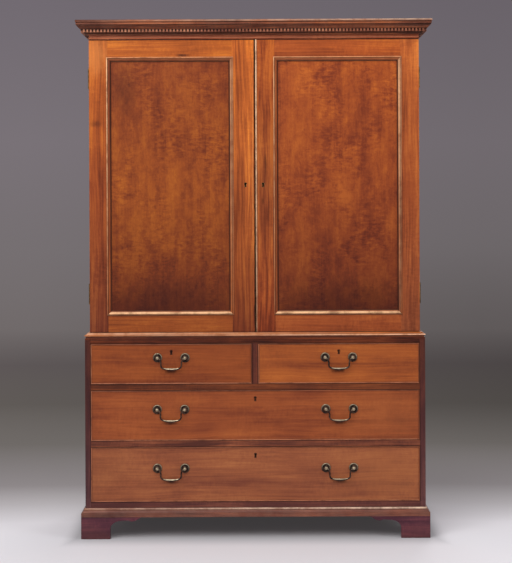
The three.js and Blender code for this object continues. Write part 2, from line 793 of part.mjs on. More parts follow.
function tails(boxHeight, clearance) {
  const count = Math.max(2, Math.round(boxHeight / tailPitch));
  const pitch = boxHeight / count;
  const root = pitch * tailRootShare;
  const tip = root + pitch * tailFlareShare / 2;
  return Array.from({ length: count }, (_, i) => {
    const middle = pitch * (i + 0.5);
    return [
      [drawerFrontThickness + overrun, middle - root - clearance],
      [drawerFrontThickness + glueLine, middle - root - clearance],
      [drawerFrontThickness - tailLength - clearance, middle - tip - clearance],
      [drawerFrontThickness - tailLength - clearance, middle + tip + clearance],
      [drawerFrontThickness + glueLine, middle + root + clearance],
      [drawerFrontThickness + overrun, middle + root + clearance],
    ];
  });
}

function drawerPieces(openingWidth, openingHeight, pullPlaces) {
  const half = openingWidth / 2 - drawerReveal;
  const low = drawerReveal;
  const high = openingHeight - drawerReveal;
  const pullZ = openingHeight / 2 + postRise;
  const keyZ = openingHeight - keyDrop;
  const boxHalf = openingWidth / 2 - 2 * runningGap;
  const boxHeight = openingHeight - boxTopDrop;
  const boxLow = runningGap;
  const wallX = (side) => (
    side > 0 ? [boxHalf - liningThickness, boxHalf] : [-boxHalf, liningThickness - boxHalf]);

  const blank = board([-half, half], [0, drawerFrontThickness], [low, high]);
  const bead = faceMoulding([
    [0, -cockbeadWidth], [-cockbeadWidth, -cockbeadWidth], [-cockbeadWidth, 0],
    ...arc([-cockbeadWidth / 2, 0], 1, 0.5, 0, 4).map(([u, v]) => [
      -cockbeadWidth / 2 + (u + cockbeadWidth / 2) * cockbeadWidth / 2, v * cockbeadProud]).slice(1),
  ], [-half, half], [low, high], 0);
  const sockets = [-1, 1].flatMap((side) => tails(boxHeight, glueLine).map((points) => {
    const [x0, x1] = wallX(side);
    const reach = side > 0 ? [x0 - glueLine, half + overrun] : [-half - overrun, x1 + glueLine];
    return prismX(outlineShape(points.map(([y, z]) => [y, z + boxLow])), reach);
  }));
  const shankHoles = pullPlaces.flatMap((x) => [-1, 1].map((side) => new THREE.CylinderGeometry(
    shankRadius + glueLine, shankRadius + glueLine, drawerFrontThickness + 2 * overrun, 10,
  ).translate(x + (side * postSpacing) / 2, drawerFrontThickness / 2, pullZ)));
  const front = cut(join(blank, bead), ...sockets, ...shankHoles, keyhole([0, keyZ], 0));

  const wallFrontY = drawerFrontThickness + glueLine;
  const walls = [-1, 1].flatMap((side) => {
    const wall = board(wallX(side), [wallFrontY, boxDepth], [boxLow, boxLow + boxHeight]);
    const fingers = tails(boxHeight, 0).map((points) => prismX(
      outlineShape(points.map(([y, z]) => [y, z + boxLow])), wallX(side)));
    return [wall, ...fingers];
  });
  const housedHalf = boxHalf - liningThickness + bottomHousing;
  const back = board(
    [-housedHalf, housedHalf], [boxDepth - 2 * liningThickness, boxDepth - liningThickness],
    [boxLow + bottomLift, boxLow + boxHeight]);
  const bottom = board(
    [-housedHalf, housedHalf], [wallFrontY, boxDepth],
    [boxLow + bottomLift, boxLow + bottomLift + bottomThickness]);
  return { front, box: join(...walls, back, bottom), pullZ };
}

const longPullX = 311;
const shortWidth = baseInnerHalf - dividerWidth / 2;
const shortCentre = (baseInnerHalf + dividerWidth / 2) / 2;
const drawers = [
  {
    name: 'short_left', x: -shortCentre, z: shortDrawerZ, width: shortWidth, height: shortDrawerHeight,
    pulls: { middle: 0 },
  },
  {
    name: 'short_right', x: shortCentre, z: shortDrawerZ, width: shortWidth, height: shortDrawerHeight,
    pulls: { middle: 0 },
  },
  {
    name: 'middle', x: 0, z: middleDrawerZ, width: 2 * baseInnerHalf, height: middleDrawerHeight,
    pulls: { left: -longPullX, right: longPullX },
  },
  {
    name: 'bottom', x: 0, z: bottomDrawerZ, width: 2 * baseInnerHalf, height: bottomDrawerHeight,
    pulls: { left: -longPullX, right: longPullX },
  },
];

drawers.forEach(({ name, x, z, width, height, pulls }) => {
  const place = groupAt(x, baseFrontY, z);
  const { front, box, pullZ } = drawerPieces(width, height, Object.values(pulls));
  piece(`drawer_${name}_front`, front, finishes.frontWood(), place);
  piece(`drawer_${name}_box`, box, finishes.liningWood(), place);
  Object.entries(pulls).forEach(([word, pullX]) => {
    const label = word === 'middle' ? name : `${name}_${word}`;
    const pull = groupAt(pullX, 0, pullZ, place);
    piece(`bail_${label}`, bailGeometry(), finishes.brass(), pull);
    [['a', -1], ['b', 1]].forEach(([letter, side]) => {
      const post = piece(`post_${label}_${letter}`, boredPost(-side), finishes.brass(), pull);
      post.position.x = (side * postSpacing) / 2;
    });
  });
});

export default press;
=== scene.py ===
# %% [markdown]
# # A mahogany linen press
#
# A linen press is a cupboard of sliding trays that stands on a chest of drawers. The boards, joints and moving
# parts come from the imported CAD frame. This notebook dresses that frame: it adds the mouldings, door members,
# pulls, hinges and locks as separate pieces, and gives every surface its finish. All lengths are in metres.

# %% Load the frame
import math

import bmesh
import bpy
from mathutils import Matrix, Vector


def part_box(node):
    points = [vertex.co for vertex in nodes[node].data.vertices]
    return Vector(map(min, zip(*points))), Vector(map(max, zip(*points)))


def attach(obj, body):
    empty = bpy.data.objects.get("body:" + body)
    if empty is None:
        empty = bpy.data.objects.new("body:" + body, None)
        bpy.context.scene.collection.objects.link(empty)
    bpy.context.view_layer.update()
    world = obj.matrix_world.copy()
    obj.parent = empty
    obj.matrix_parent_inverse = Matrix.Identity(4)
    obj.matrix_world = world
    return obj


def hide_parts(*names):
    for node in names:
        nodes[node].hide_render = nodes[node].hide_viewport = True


MM = 0.001
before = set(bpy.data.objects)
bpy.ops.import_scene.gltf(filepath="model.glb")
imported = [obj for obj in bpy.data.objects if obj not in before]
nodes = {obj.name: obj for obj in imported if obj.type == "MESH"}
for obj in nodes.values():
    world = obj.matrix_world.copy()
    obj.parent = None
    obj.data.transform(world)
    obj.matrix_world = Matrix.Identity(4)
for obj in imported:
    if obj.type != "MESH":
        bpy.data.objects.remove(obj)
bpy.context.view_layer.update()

# %% [markdown]
# ## Places that the frame gives
#
# The few planes that many pieces share are read from the frame once: the faces of the doors and the drawers,
# and the widths of both carcases.

# %% Shared planes
SIDES = ((-1, "left"), (1, "right"))
DRAWERS = ("short_left", "short_right", "middle", "bottom")
DOOR_MOULDING_PROUD = 3 * MM
door_low, door_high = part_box("door_left_frame")
CUPBOARD_Y, DOOR_BACK_Y = door_low.y + DOOR_MOULDING_PROUD, door_high.y
BACK_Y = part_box("upper_side_left")[1].y
UPPER_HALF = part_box("upper_side_right")[1].x
BASE_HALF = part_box("base_side_right")[1].x
CHEST_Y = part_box("base_side_right")[0].y
TOP_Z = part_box("cornice")[1].z
print("cupboard", 2 * UPPER_HALF, "chest", 2 * BASE_HALF, "height", TOP_Z)

# %% [markdown]
# ## Camera
#
# The uprights stay parallel in the photograph, so its camera was level and its frame was shifted down instead
# of tilted. A long lens at 5.5 m gives the small perspective that shows in the cornice and the feet.

# %% Camera
FRAME_HEIGHT = 563
METRES_PER_PIXEL = 3.7 * MM
CAMERA_DISTANCE = 5.5
CAMERA_HEIGHT = 1.2405
HORIZON_PIXEL = 201.4
CAMERA_X = 6.0 * MM
CAMERA_ROLL = math.radians(0.25)


def linked(name, data):
    """A new object in the scene."""
    made = bpy.data.objects.new(name, data)
    bpy.context.scene.collection.objects.link(made)
    return made


camera_data = bpy.data.cameras.new("camera")
camera_data.lens = camera_data.sensor_width * CAMERA_DISTANCE / METRES_PER_PIXEL / FRAME_HEIGHT
camera_data.shift_y = HORIZON_PIXEL / FRAME_HEIGHT - 0.5
camera = linked("camera", camera_data)
camera.matrix_world = (
    Matrix.Translation((CAMERA_X, CUPBOARD_Y - CAMERA_DISTANCE, CAMERA_HEIGHT))
    @ Matrix.Rotation(CAMERA_ROLL, 4, "Y")
    @ Matrix.Rotation(math.pi / 2, 4, "X")
)
bpy.context.scene.camera = camera
bpy.context.scene.view_settings.view_transform = "Standard"
print("lens", round(camera_data.lens, 1), "mm, shift", round(camera_data.shift_y, 3))

# %% [markdown]
# ## Small tools for node trees
#
# Materials here are node trees, and most of a tree is noise, ramps and mixing. These helpers place one node
# each and take a value or another node's socket for every input, so that a tree reads like a formula.


# %% Node helpers
def colour(red, green, blue):
    """A colour as it looks on screen, 0 to 255, as the linear value that a socket wants."""
    shares = [value / 255 for value in (red, green, blue)]
    return (*(s / 12.92 if s <= 0.04045 else ((s + 0.055) / 1.055) ** 2.4 for s in shares), 1.0)


def add(tree, kind, feeds=(), **settings):
    """Adds a node. feeds pairs each input's name or number with a socket or a value."""
    made = tree.nodes.new("ShaderNode" + kind)
    for name, value in settings.items():
        setattr(made, name, value)
    for name, value in dict(feeds).items():
        if isinstance(value, bpy.types.NodeSocket):
            tree.links.new(value, made.inputs[name])
        else:
            made.inputs[name].default_value = value
    return made


def sums(tree, operation, *values, clamp=False):
    """A Math node on one to three values."""
    return add(tree, "Math", enumerate(values), operation=operation, use_clamp=clamp).outputs[0]


def vectors(tree, operation, *values):
    """A Vector Math node on one or two vectors."""
    made = add(tree, "VectorMath", enumerate(values), operation=operation)
    return made.outputs["Value" if operation == "LENGTH" else "Vector"]


def scaled(tree, vector, factor):
    return add(tree, "VectorMath", {0: vector, "Scale": factor}, operation="SCALE").outputs["Vector"]


def noise(tree, place, scale, detail=3.0, roughness=0.55, distortion=0.0):
    """Noise whose scale is given per axis, in features per metre."""
    return add(tree, "TexNoise", {
        "Vector": vectors(tree, "MULTIPLY", place, scale), "Scale": 1.0, "Detail": detail,
        "Roughness": roughness, "Distortion": distortion}).outputs[0]


def blend(tree, mask, first, second):
    """Mixes two colours by a mask."""
    return add(tree, "Mix", {0: mask, 6: first, 7: second}, data_type="RGBA").outputs[2]


def span(tree, value, low, high, to_low=0.0, to_high=1.0, smooth=True):
    """Maps a value from one range to another, clamped, with soft ends."""
    return add(tree, "MapRange", {
        "Value": value, "From Min": low, "From Max": high, "To Min": to_low, "To Max": to_high,
    }, interpolation_type="SMOOTHSTEP" if smooth else "LINEAR").outputs[0]


def new_group(name, takes, gives):
    """A shader node group. Its inputs' kinds follow from their defaults. Returns tree, inputs and output node."""
    tree = bpy.data.node_groups.new(name, "ShaderNodeTree")
    for label, default in takes.items():
        kind = {3: "Vector", 4: "Color"}[len(default)] if isinstance(default, tuple) else "Float"
        tree.interface.new_socket(label, in_out="INPUT", socket_type="NodeSocket" + kind).default_value = default
    for label in gives:
        kind = "Color" if label == "Colour" else "Float"
        tree.interface.new_socket(label, in_out="OUTPUT", socket_type="NodeSocket" + kind)
    entry = tree.nodes.new("NodeGroupInput")
    return tree, entry.outputs, tree.nodes.new("NodeGroupOutput")


def give(tree, end, **sockets):
    """Links what a group puts out."""
    for label, socket in sockets.items():
        tree.links.new(socket, end.inputs[label])


def place_group(tree, group, feeds):
    """Places a group in a material and returns its outputs."""
    return add(tree, "Group", feeds, node_tree=group).outputs


def new_material(name):
    """An empty node material. Returns it, its tree and the place on the object."""
    made = bpy.data.materials.new(name)
    made.use_nodes = True
    made.node_tree.nodes.clear()
    return made, made.node_tree, add(made.node_tree, "TexCoord").outputs["Object"]


def surface(tree, shader):
    """Ends a material with its shader."""
    tree.links.new(shader.outputs[0], tree.nodes.new("ShaderNodeOutputMaterial").inputs[0])


# %% [markdown]
# ## Floor, backdrop and light
#
# The press stands on a pale studio floor that darkens into a grey round wall. Both take their tone from a
# ramp: the floor by distance from a point in front of the press, the wall by height, and both lose a little
# light towards the right. Near the press the floor is a lit surface that keeps the shadow. There its colour is
# also painted darker under the press, a painted shadow, and a small share of its own tone glows through the
# shadow, a painted light. Further away it shows its own tone, as the wall does, so the two meet without a
# line. The wall is clear from outside, for a camera that stands further away than it does.

# %% Stage
FLOOR_RADIUS = 16.0
WALL_RADIUS = 9.0
WALL_HEIGHT = 7.0
ROUND_SEGMENTS = 96
FLOOR_SHIFT = (0, 1.2, 0)
FLOOR_STRETCH = (0.4, 1, 0)
FLOOR_REACH = 10.0
FLOOR_GAIN = 1.12
SHADOW_LIFT = 0.05
LIT_FLOOR = (2.0, 3.2)
FLOOR_TONES = ((0.05, (221, 219, 222)), (0.125, (217, 213, 216)), (0.16, (182, 177, 178)), (0.20, (144, 138, 138)),
               (0.31, (108, 103, 100)), (0.46, (88, 83, 80)), (0.68, (85, 79, 79)), (0.99, (104, 98, 98)))
WALL_TONES = ((0.0, (104, 98, 98)), (0.11, (113, 107, 109)), (0.26, (117, 110, 115)), (0.46, (110, 103, 110)),
              (1.0, (100, 94, 100)))
SIDE_REACH = 2.2
NEAR_LEAN, FAR_LEAN, WALL_LEAN = (2, 4.5, 0, 0.27), (5, 10, 0, 0.10), (0, 1, 0.17, 0.08)
# Where the floor's colour is painted darker under the press, a painted shadow, and how dark it gets.
PAINTED_SHADOW_FRONT = (-0.42, -0.24)
PAINTED_SHADOW_SIDE = (0.58, 0.72)
PAINTED_SHADOW_DEPTH = 0.62


def toned(tree, value, tones):
    """A colour ramp through named tones."""
    made = add(tree, "ValToRGB", {0: value})
    stops = made.color_ramp.elements
    while len(stops) < len(tones):
        stops.new(1.0)
    for stop, (where, tone) in zip(stops, tones):
        stop.position = where
        stop.color = colour(*tone)
    return made.outputs[0]


def sided(tree, tone, x, strength):
    """The tone, brighter on the left and darker on the right by a share."""
    lean = sums(tree, "MULTIPLY", span(tree, x, -SIDE_REACH, SIDE_REACH, 1, -1, smooth=False), strength)
    return scaled(tree, tone, sums(tree, "ADD", lean, 1))


def seen_directly(tree):
    """1 for a ray from the camera or by way of a mirror or glass, and 0 for the light between surfaces."""
    path = add(tree, "LightPath").outputs
    mirrored = sums(tree, "ADD", path["Is Glossy Ray"], path["Is Transmission Ray"])
    return sums(tree, "ADD", path["Is Camera Ray"], mirrored, clamp=True)


def stage_piece(name, bm, material):
    mesh = bpy.data.meshes.new(name)
    bm.to_mesh(mesh)
    bm.free()
    mesh.materials.append(material)
    made = linked(name, mesh)
    return made


floor_paint, tree, place = new_material("floor_paint")
x, depth, _ = add(tree, "SeparateXYZ", {0: place}).outputs
reach = vectors(tree, "LENGTH", vectors(tree, "MULTIPLY", vectors(tree, "ADD", place, FLOOR_SHIFT), FLOOR_STRETCH))
tone = toned(tree, span(tree, reach, 0, FLOOR_REACH, smooth=False), FLOOR_TONES)
tone = sided(tree, tone, x, sums(tree, "SUBTRACT", span(tree, reach, *NEAR_LEAN), span(tree, reach, *FAR_LEAN)))
# Painted shadow: the lit colour of the floor is darker under the press, fading out in front of it and beside it.
front_painted_shadow = span(tree, depth, *PAINTED_SHADOW_FRONT, 1, PAINTED_SHADOW_DEPTH)
side_painted_shadow = span(tree, sums(tree, "ABSOLUTE", x), *PAINTED_SHADOW_SIDE)
gain = sums(tree, "MULTIPLY", sums(tree, "MAXIMUM", front_painted_shadow, side_painted_shadow), FLOOR_GAIN)
lit = add(tree, "BsdfDiffuse", {"Color": scaled(tree, tone, gain)})
shown = add(tree, "Emission", {"Color": tone, "Strength": 1.0})
share = sums(tree, "MULTIPLY", span(tree, reach, *LIT_FLOOR, SHADOW_LIFT, 1.0), seen_directly(tree))
surface(tree, add(tree, "MixShader", {0: share, 1: lit.outputs[0], 2: shown.outputs[0]}))

wall_paint, tree, place = new_material("wall_paint")
x, _, height = add(tree, "SeparateXYZ", {0: place}).outputs
tone = toned(tree, span(tree, height, 0, WALL_HEIGHT, smooth=False), WALL_TONES)
tone = sided(tree, tone, x, span(tree, height, *WALL_LEAN))
shown = add(tree, "Emission", {"Color": tone, "Strength": 1.0})
clear = add(tree, "BsdfTransparent")
outside = add(tree, "NewGeometry").outputs["Backfacing"]
surface(tree, add(tree, "MixShader", {0: outside, 1: shown.outputs[0], 2: clear.outputs[0]}))

disc = bmesh.new()
bmesh.ops.create_circle(disc, cap_ends=True, segments=ROUND_SEGMENTS, radius=FLOOR_RADIUS)
floor = stage_piece("floor", disc, floor_paint)
ring = bmesh.new()
bmesh.ops.create_circle(ring, segments=ROUND_SEGMENTS, radius=WALL_RADIUS)
rim = bmesh.ops.extrude_edge_only(ring, edges=ring.edges[:])["geom"]
bmesh.ops.translate(ring, verts=[v for v in rim if isinstance(v, bmesh.types.BMVert)], vec=(0, 0, WALL_HEIGHT))
ring.normal_update()
outward = [face for face in ring.faces if face.normal.dot(face.calc_center_median()) > 0]
bmesh.ops.reverse_faces(ring, faces=outward)
wall = stage_piece("wall", ring, wall_paint)
for ray in ("diffuse", "shadow"):
    setattr(wall, f"visible_{ray}", False)
print("stage", floor.name, wall.name)

# %% [markdown]
# The light is a studio's: one wide soft box above and in front, a weaker one on the right, one behind for the
# other views, and an even grey world. Together they light a white card on the doors to about white.

# %% Lights
WORLD_STRENGTH = 0.5
SOFT_BOXES = {
    "soft_box_front": ((-1.5, -3.3, 3.9), 3.8, 176),
    "soft_box_right": ((3.6, -2.6, 2.4), 1.8, 40),
    "soft_box_back": ((0.8, 4.2, 3.4), 2.2, 90),
}
LIGHT_TARGET = Vector((0, 0, 0.95))

world = bpy.data.worlds.new("studio")
world.use_nodes = True
world.node_tree.nodes["Background"].inputs["Color"].default_value = colour(222, 222, 228)
world.node_tree.nodes["Background"].inputs["Strength"].default_value = WORLD_STRENGTH
bpy.context.scene.world = world
for name, (where, size, power) in SOFT_BOXES.items():
    lamp_data = bpy.data.lights.new(name, "AREA")
    lamp_data.size = size
    lamp_data.energy = power
    lamp = linked(name, lamp_data)
    lamp.location = where
    lamp.rotation_euler = (LIGHT_TARGET - Vector(where)).to_track_quat("-Z", "Y").to_euler()
print("lights", list(SOFT_BOXES))

# %% [markdown]
# ## Mahogany
#
# Old mahogany shows many things at once: soft bands where the board was sawn, fine streaks along the grain,
# short dark pores, a mottle of cross waves where the grain rolls, blotches and fine flecks. One group makes
# them all from noise that is stretched along Z, and mixes three tones by their sum. A board whose grain runs
# another way gets its place turned first, and each new piece carries an attribute that moves it to its own
# part of the log, so no two neighbours share a streak.

# %% Mahogany group
SWING = 2.2
group, takes, gives = new_group("sawn_mahogany", {
    "Place": (0, 0, 0), "Pale": colour(190, 105, 60), "Middle": colour(150, 76, 43), "Deep": colour(92, 42, 27),
    "Streaks": 1.0, "Bands": 1.0, "Mottle": 0.5, "Clouds": 0.6, "Pores": 0.4, "Flecks": 0.1, "Blotches": 0.0,
}, ("Colour", "Height", "Roughness"))
wood_group, place = group, takes["Place"]
drift = add(group, "TexNoise", {
    "Vector": vectors(group, "MULTIPLY", place, (5, 5, 1.6)), "Scale": 1.0, "Detail": 2.0}).outputs["Color"]
rolled = vectors(group, "ADD", place, vectors(group, "MULTIPLY", drift, (0.045, 0.045, 0.02)))
layers = {
    "Streaks": noise(group, rolled, (150, 150, 3.2), detail=4, roughness=0.6),
    "Bands": noise(group, rolled, (30, 30, 0.9)),
    "Clouds": noise(group, rolled, (11, 11, 4.5), roughness=0.6),
    "Flecks": noise(group, place, (170, 170, 120), detail=2, roughness=0.7, distortion=0.4),
    "Blotches": noise(group, rolled, (27, 27, 15), detail=4, roughness=0.65, distortion=0.5),
}
waves = noise(group, rolled, (38, 38, 95), detail=2, roughness=0.6, distortion=0.6)
wave_patches = span(group, noise(group, place, (9, 9, 5), detail=2), 0.42, 0.62)
pores = span(group, noise(group, place, (900, 900, 42), detail=2), 0.56, 0.66)

total = 0.5
for weight, layer in layers.items():
    swing = sums(group, "MULTIPLY", sums(group, "SUBTRACT", layer, 0.5), takes[weight])
    total = sums(group, "ADD", total, sums(group, "MULTIPLY", swing, SWING))
ripple = sums(group, "MULTIPLY", sums(group, "SUBTRACT", waves, 0.5), takes["Mottle"])
ripple = sums(group, "MULTIPLY", ripple, sums(group, "ADD", wave_patches, 0.35))
total = sums(group, "ADD", total, sums(group, "MULTIPLY", ripple, SWING), clamp=True)
lower = blend(group, span(group, total, 0.0, 0.5, smooth=False), takes["Deep"], takes["Middle"])
tone = blend(group, span(group, total, 0.5, 1.0, smooth=False), lower, takes["Pale"])
give(group, gives, Colour=blend(group, sums(group, "MULTIPLY", pores, takes["Pores"]), tone, takes["Deep"]),
     Height=sums(group, "SUBTRACT", total, pores), Roughness=span(group, total, 0, 1, 0.50, 0.34))
print("group", wood_group.name)

# %% [markdown]
# ## Age
#
# Two hundred years of handling rub the polish from proud edges and leave dirt in the corners. The rubbed
# edges follow an attribute that each moulding carries from its own section: 1 on the crest of a bead, 0 in a
# hollow. On many mouldings it is also set higher where a face turns to the light above or on the left, so the
# pale tone is wear and painted highlight together. The dark tone comes from ambient occlusion and from a second
# attribute in quirks and recesses. Both darken where shade falls as well as where dirt lies, so the dark tone is
# dirt and painted shade together. Single marks, such as a smudge, are soft spots at a place of their own; some
# of them are painted shadows and painted highlights. A member that is paler towards the top has a tint at three
# heights: painted light that falls off downwards, with a bluish painted reflection on low parts.

# %% Age groups
group, takes, gives = new_group("age", {
    "Place": (0, 0, 0), "Colour": (0.5, 0.5, 0.5, 1), "Rubbed Highlight": colour(214, 150, 110), "Grime Shade": colour(44, 17, 11),
    "Grime Shade Amount": 0.6, "Roughness": 0.4,
}, ("Colour", "Roughness"))
age_group = group
worn = add(group, "Attribute", attribute_name="worn").outputs["Fac"]
patchy = noise(group, takes["Place"], (26, 26, 26), detail=4, roughness=0.65)
# The pale tone: wear, and on many mouldings a painted highlight as well.
rub_highlight = sums(group, "MULTIPLY", worn, span(group, patchy, 0.30, 0.62, 0.35, 1.0))
# Painted shade: ambient occlusion darkens corners, quirks and recesses, for dirt and painted shade together.
occlusion_shade = add(group, "AmbientOcclusion", {"Distance": 0.012}, samples=6, only_local=False).outputs["AO"]
grime_shade = sums(group, "MULTIPLY", span(group, occlusion_shade, 0.35, 0.95, 1.0, 0.0), takes["Grime Shade Amount"])
grime_shade = sums(group, "MAXIMUM", grime_shade, add(group, "Attribute", attribute_name="soil_shade").outputs["Fac"])
give(group, gives, Colour=blend(group, rub_highlight, blend(group, grime_shade, takes["Colour"], takes["Grime Shade"]), takes["Rubbed Highlight"]),
     Roughness=sums(group, "ADD", takes["Roughness"], sums(group, "MULTIPLY", grime_shade, 0.25)))

group, takes, gives = new_group("painted_light_by_height", {
    "Place": (0, 0, 0), "Colour": (0.5, 0.5, 0.5, 1), "Low": 0.0, "High": 1.0,
    "Low Tint": (1, 1, 1), "Middle Tint": (1, 1, 1), "High Tint": (1, 1, 1),
}, ("Colour",))
light_by_height_group = group
lift = add(group, "SeparateXYZ", {0: takes["Place"]}).outputs[2]
rise = add(group, "MapRange", {
    "Value": lift, "From Min": takes["Low"], "From Max": takes["High"], "To Max": 2.0}).outputs[0]
lower = add(group, "Mix", {0: rise, 4: takes["Low Tint"], 5: takes["Middle Tint"]}, data_type="VECTOR").outputs[1]
tint = add(group, "Mix", {0: sums(group, "SUBTRACT", rise, 1), 4: lower, 5: takes["High Tint"]},
           data_type="VECTOR").outputs[1]
give(group, gives, Colour=vectors(group, "MULTIPLY", takes["Colour"], tint))

group, takes, gives = new_group("spot", {
    "Place": (0, 0, 0), "Colour": (0.5, 0.5, 0.5, 1), "Centre": (0, 0, 0), "Size": (1, 1, 1),
    "Spot Colour": (0.1, 0.1, 0.1, 1), "Strength": 0.5,
}, ("Colour",))
spot_group = group
offset = vectors(group, "SUBTRACT", takes["Place"], takes["Centre"])
away = vectors(group, "LENGTH", vectors(group, "DIVIDE", offset, takes["Size"]))
ragged = noise(group, takes["Place"], (70, 70, 35))
away = sums(group, "ADD", away, sums(group, "MULTIPLY", sums(group, "SUBTRACT", ragged, 0.5), 0.9))
mask = sums(group, "MULTIPLY", span(group, away, 0.1, 1.0, 1.0, 0.0), takes["Strength"])
give(group, gives, Colour=blend(group, mask, takes["Colour"], takes["Spot Colour"]))
print("groups", age_group.name, light_by_height_group.name, spot_group.name)

# %% [markdown]
# A finish is now a short recipe: three tones and how strong each kind of figure is. Door members and drawers
# share a wood but differ in tone, and single ones carry marks.

# %% Wood recipes
FIGURE = ("Streaks", "Bands", "Mottle", "Clouds", "Pores", "Flecks", "Blotches")
WOODS = {
    "front": ((206, 112, 42), (168, 80, 30), (122, 52, 18), 0.8, 0.8, 0.2, 0.45, 0.3),
    "drawer": ((168, 88, 42), (144, 70, 34), (110, 48, 26), 0.45, 0.5, 0.15, 0.55, 0.25),
    "figured": ((184, 96, 38), (156, 73, 30), (118, 48, 22), 0.25, 0.25, 0.55, 0.6, 0.4, 0.25, 0.65),
    "dark": ((108, 56, 40), (82, 40, 32), (56, 26, 24), 0.6, 0.6, 0.2, 0.6, 0.3),
    "cornice": ((158, 84, 46), (112, 52, 28), (64, 24, 14), 0.9, 0.9, 0.2, 0.9, 0.4),
    "frieze": ((202, 118, 74), (160, 82, 50), (108, 48, 28), 0.6, 0.6, 0.2, 0.6, 0.3),
    # The dentils are paler than the cornice wood, a painted light on teeth that sit in the shadow of the crown.
    "dentil": ((204, 140, 104), (160, 98, 72), (96, 48, 34), 0.7, 0.7, 0.2, 1.0, 0.2),
    "rail": ((136, 74, 46), (106, 54, 34), (72, 34, 24), 0.7, 0.7, 0.2, 0.8, 0.3),
    "top_rail": ((114, 58, 32), (84, 38, 20), (50, 20, 12), 0.7, 0.7, 0.2, 1.2, 0.3),
    "waist": ((188, 106, 48), (152, 81, 35), (110, 52, 24), 0.8, 0.8, 0.1, 0.6, 0.3),
    "base": ((150, 86, 62), (113, 62, 48), (75, 37, 33), 0.6, 0.7, 0.1, 0.6, 0.3),
    "foot": ((106, 50, 56), (78, 36, 46), (52, 22, 32), 0.5, 0.6, 0.2, 0.7, 0.3),
    "moulding": ((176, 96, 48), (138, 70, 38), (88, 38, 24), 0.6, 0.6, 0.1, 0.5, 0.3),
    "cockbead": ((132, 68, 40), (98, 48, 30), (64, 28, 20), 0.6, 0.6, 0.1, 0.6, 0.3),
    "lining": ((196, 160, 112), (168, 130, 86), (126, 92, 58), 0.9, 1.0, 0.1, 0.5, 0.35),
    "deal": ((150, 118, 82), (116, 86, 58), (74, 52, 36), 1.2, 1.1, 0.1, 0.8, 0.3),
}
KINDS = {
    **{f"{word}_{part}": "front" for _, word in SIDES for part in ("stile", "meeting", "top_rail", "bottom_rail")},
    **dict.fromkeys(("left_panel", "right_panel"), "figured"), **dict.fromkeys(DRAWERS, "drawer"),
    **dict.fromkeys(("bare_highlit_moulding", "meeting_bead"), "moulding"),
    **dict.fromkeys(("chest_side", "bottom_rail"), "dark"), **dict.fromkeys(("mid_rail", "low_rail"), "rail"),
}
CHANGES = {
    "left_meeting": dict(Streaks=0.9, Bands=0.65), "right_meeting": dict(Streaks=1.1, Bands=1.2, Clouds=0.8),
    "left_stile": dict(Streaks=0.7, Bands=0.5), "left_top_rail": dict(Streaks=0.5, Bands=0.45),
    "right_stile": dict(Streaks=0.7, Bands=0.5), "left_bottom_rail": dict(Streaks=0.5, Bands=0.5),
    "right_bottom_rail": dict(Streaks=0.4, Bands=0.4, Clouds=0.4), "right_top_rail": dict(Streaks=0.5, Bands=0.5),
}
DOOR_SPAN = (door_low.z, door_high.z)
SIDE_SPAN = (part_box("base_side_left")[0].z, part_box("base_side_left")[1].z)
# Tints for the bottom, middle and top of a member, over the wood's own tone: painted light that is paler towards
# the top and falls off downwards, and a bluish painted reflection of the floor on the lower parts and on the chest
# sides.
PAINTED_LIGHT_BY_HEIGHT = {
    "left_stile": ((0.41, 0.42, 1.02), (0.75, 0.72, 0.98), (1.30, 1.40, 0.81)),
    "left_meeting": ((0.42, 0.40, 0.80), (1.10, 1.24, 1.43), (1.43, 1.58, 1.13)),
    "left_panel": ((0.30, 0.25, 0.58), (0.90, 0.99, 0.85), (0.70, 0.63, 0.49)),
    "right_stile": ((0.68, 0.83, 1.72), (0.79, 0.80, 1.23), (1.29, 1.49, 1.78)),
    "right_meeting": ((0.71, 0.64, 0.98), (0.71, 0.77, 1.13), (0.84, 0.74, 0.64)),
    "right_panel": ((0.31, 0.28, 0.60), (0.86, 0.86, 1.00), (1.10, 1.09, 0.96)),
    "chest_side": ((1.08, 1.51, 2.27), (0.84, 0.94, 1.31), (1.11, 1.12, 1.01)),
}
# One tint for a whole member, a mix of its own tone and painted light: lighter on the upper rails, darker low
# down, and bluish where a low member shows a painted reflection of the floor.
TONE_AND_LIGHT_TINTS = {
    "left_top_rail": (1.18, 1.29, 0.82), "left_bottom_rail": (0.74, 0.84, 1.07),
    "right_top_rail": (1.07, 1.06, 1.11), "right_bottom_rail": (0.77, 0.82, 1.32),
    "short_left": (0.90, 0.93, 0.93), "short_right": (1.23, 1.38, 1.17), "middle": (0.99, 1.06, 1.18),
    "bottom": (1.05, 1.41, 2.13), "top_rail": (0.96, 0.88, 0.89), "mid_rail": (1.04, 0.99, 0.77),
    "low_rail": (1.28, 1.39, 1.56), "bottom_rail": (1.27, 1.45, 1.69), "foot": (1.17, 1.43, 1.37),
}
# Pale tones for rubbed edges. The palest, on the door mouldings, the meeting bead, the waist and the base, also
# stand for painted highlights where those edges face the light.
RUBBED_HIGHLIGHT = {
    "cornice": (212, 176, 150), "dark": (186, 128, 104), "moulding": (214, 146, 100),
    "bare_highlit_moulding": (250, 198, 148), "meeting_bead": (250, 204, 160), "waist": (240, 188, 152),
    "base": (236, 202, 174), "cockbead": (196, 124, 88), "foot": (120, 72, 66),
    "lining": (206, 178, 134), "deal": (160, 130, 94),
}
RUBBED_HIGHLIGHT_FRONT = (228, 158, 116)
# How strongly ambient occlusion darkens each kind, as dirt and painted shade, strongest between the dentils.
GRIME_SHADE, GRIME_SHADE_ELSEWHERE = {"dentil": 1.0, "cornice": 0.8, "frieze": 0.3}, 0.6
UNPOLISHED, POLISH = ("lining", "deal"), 0.04
print("woods", list(WOODS))

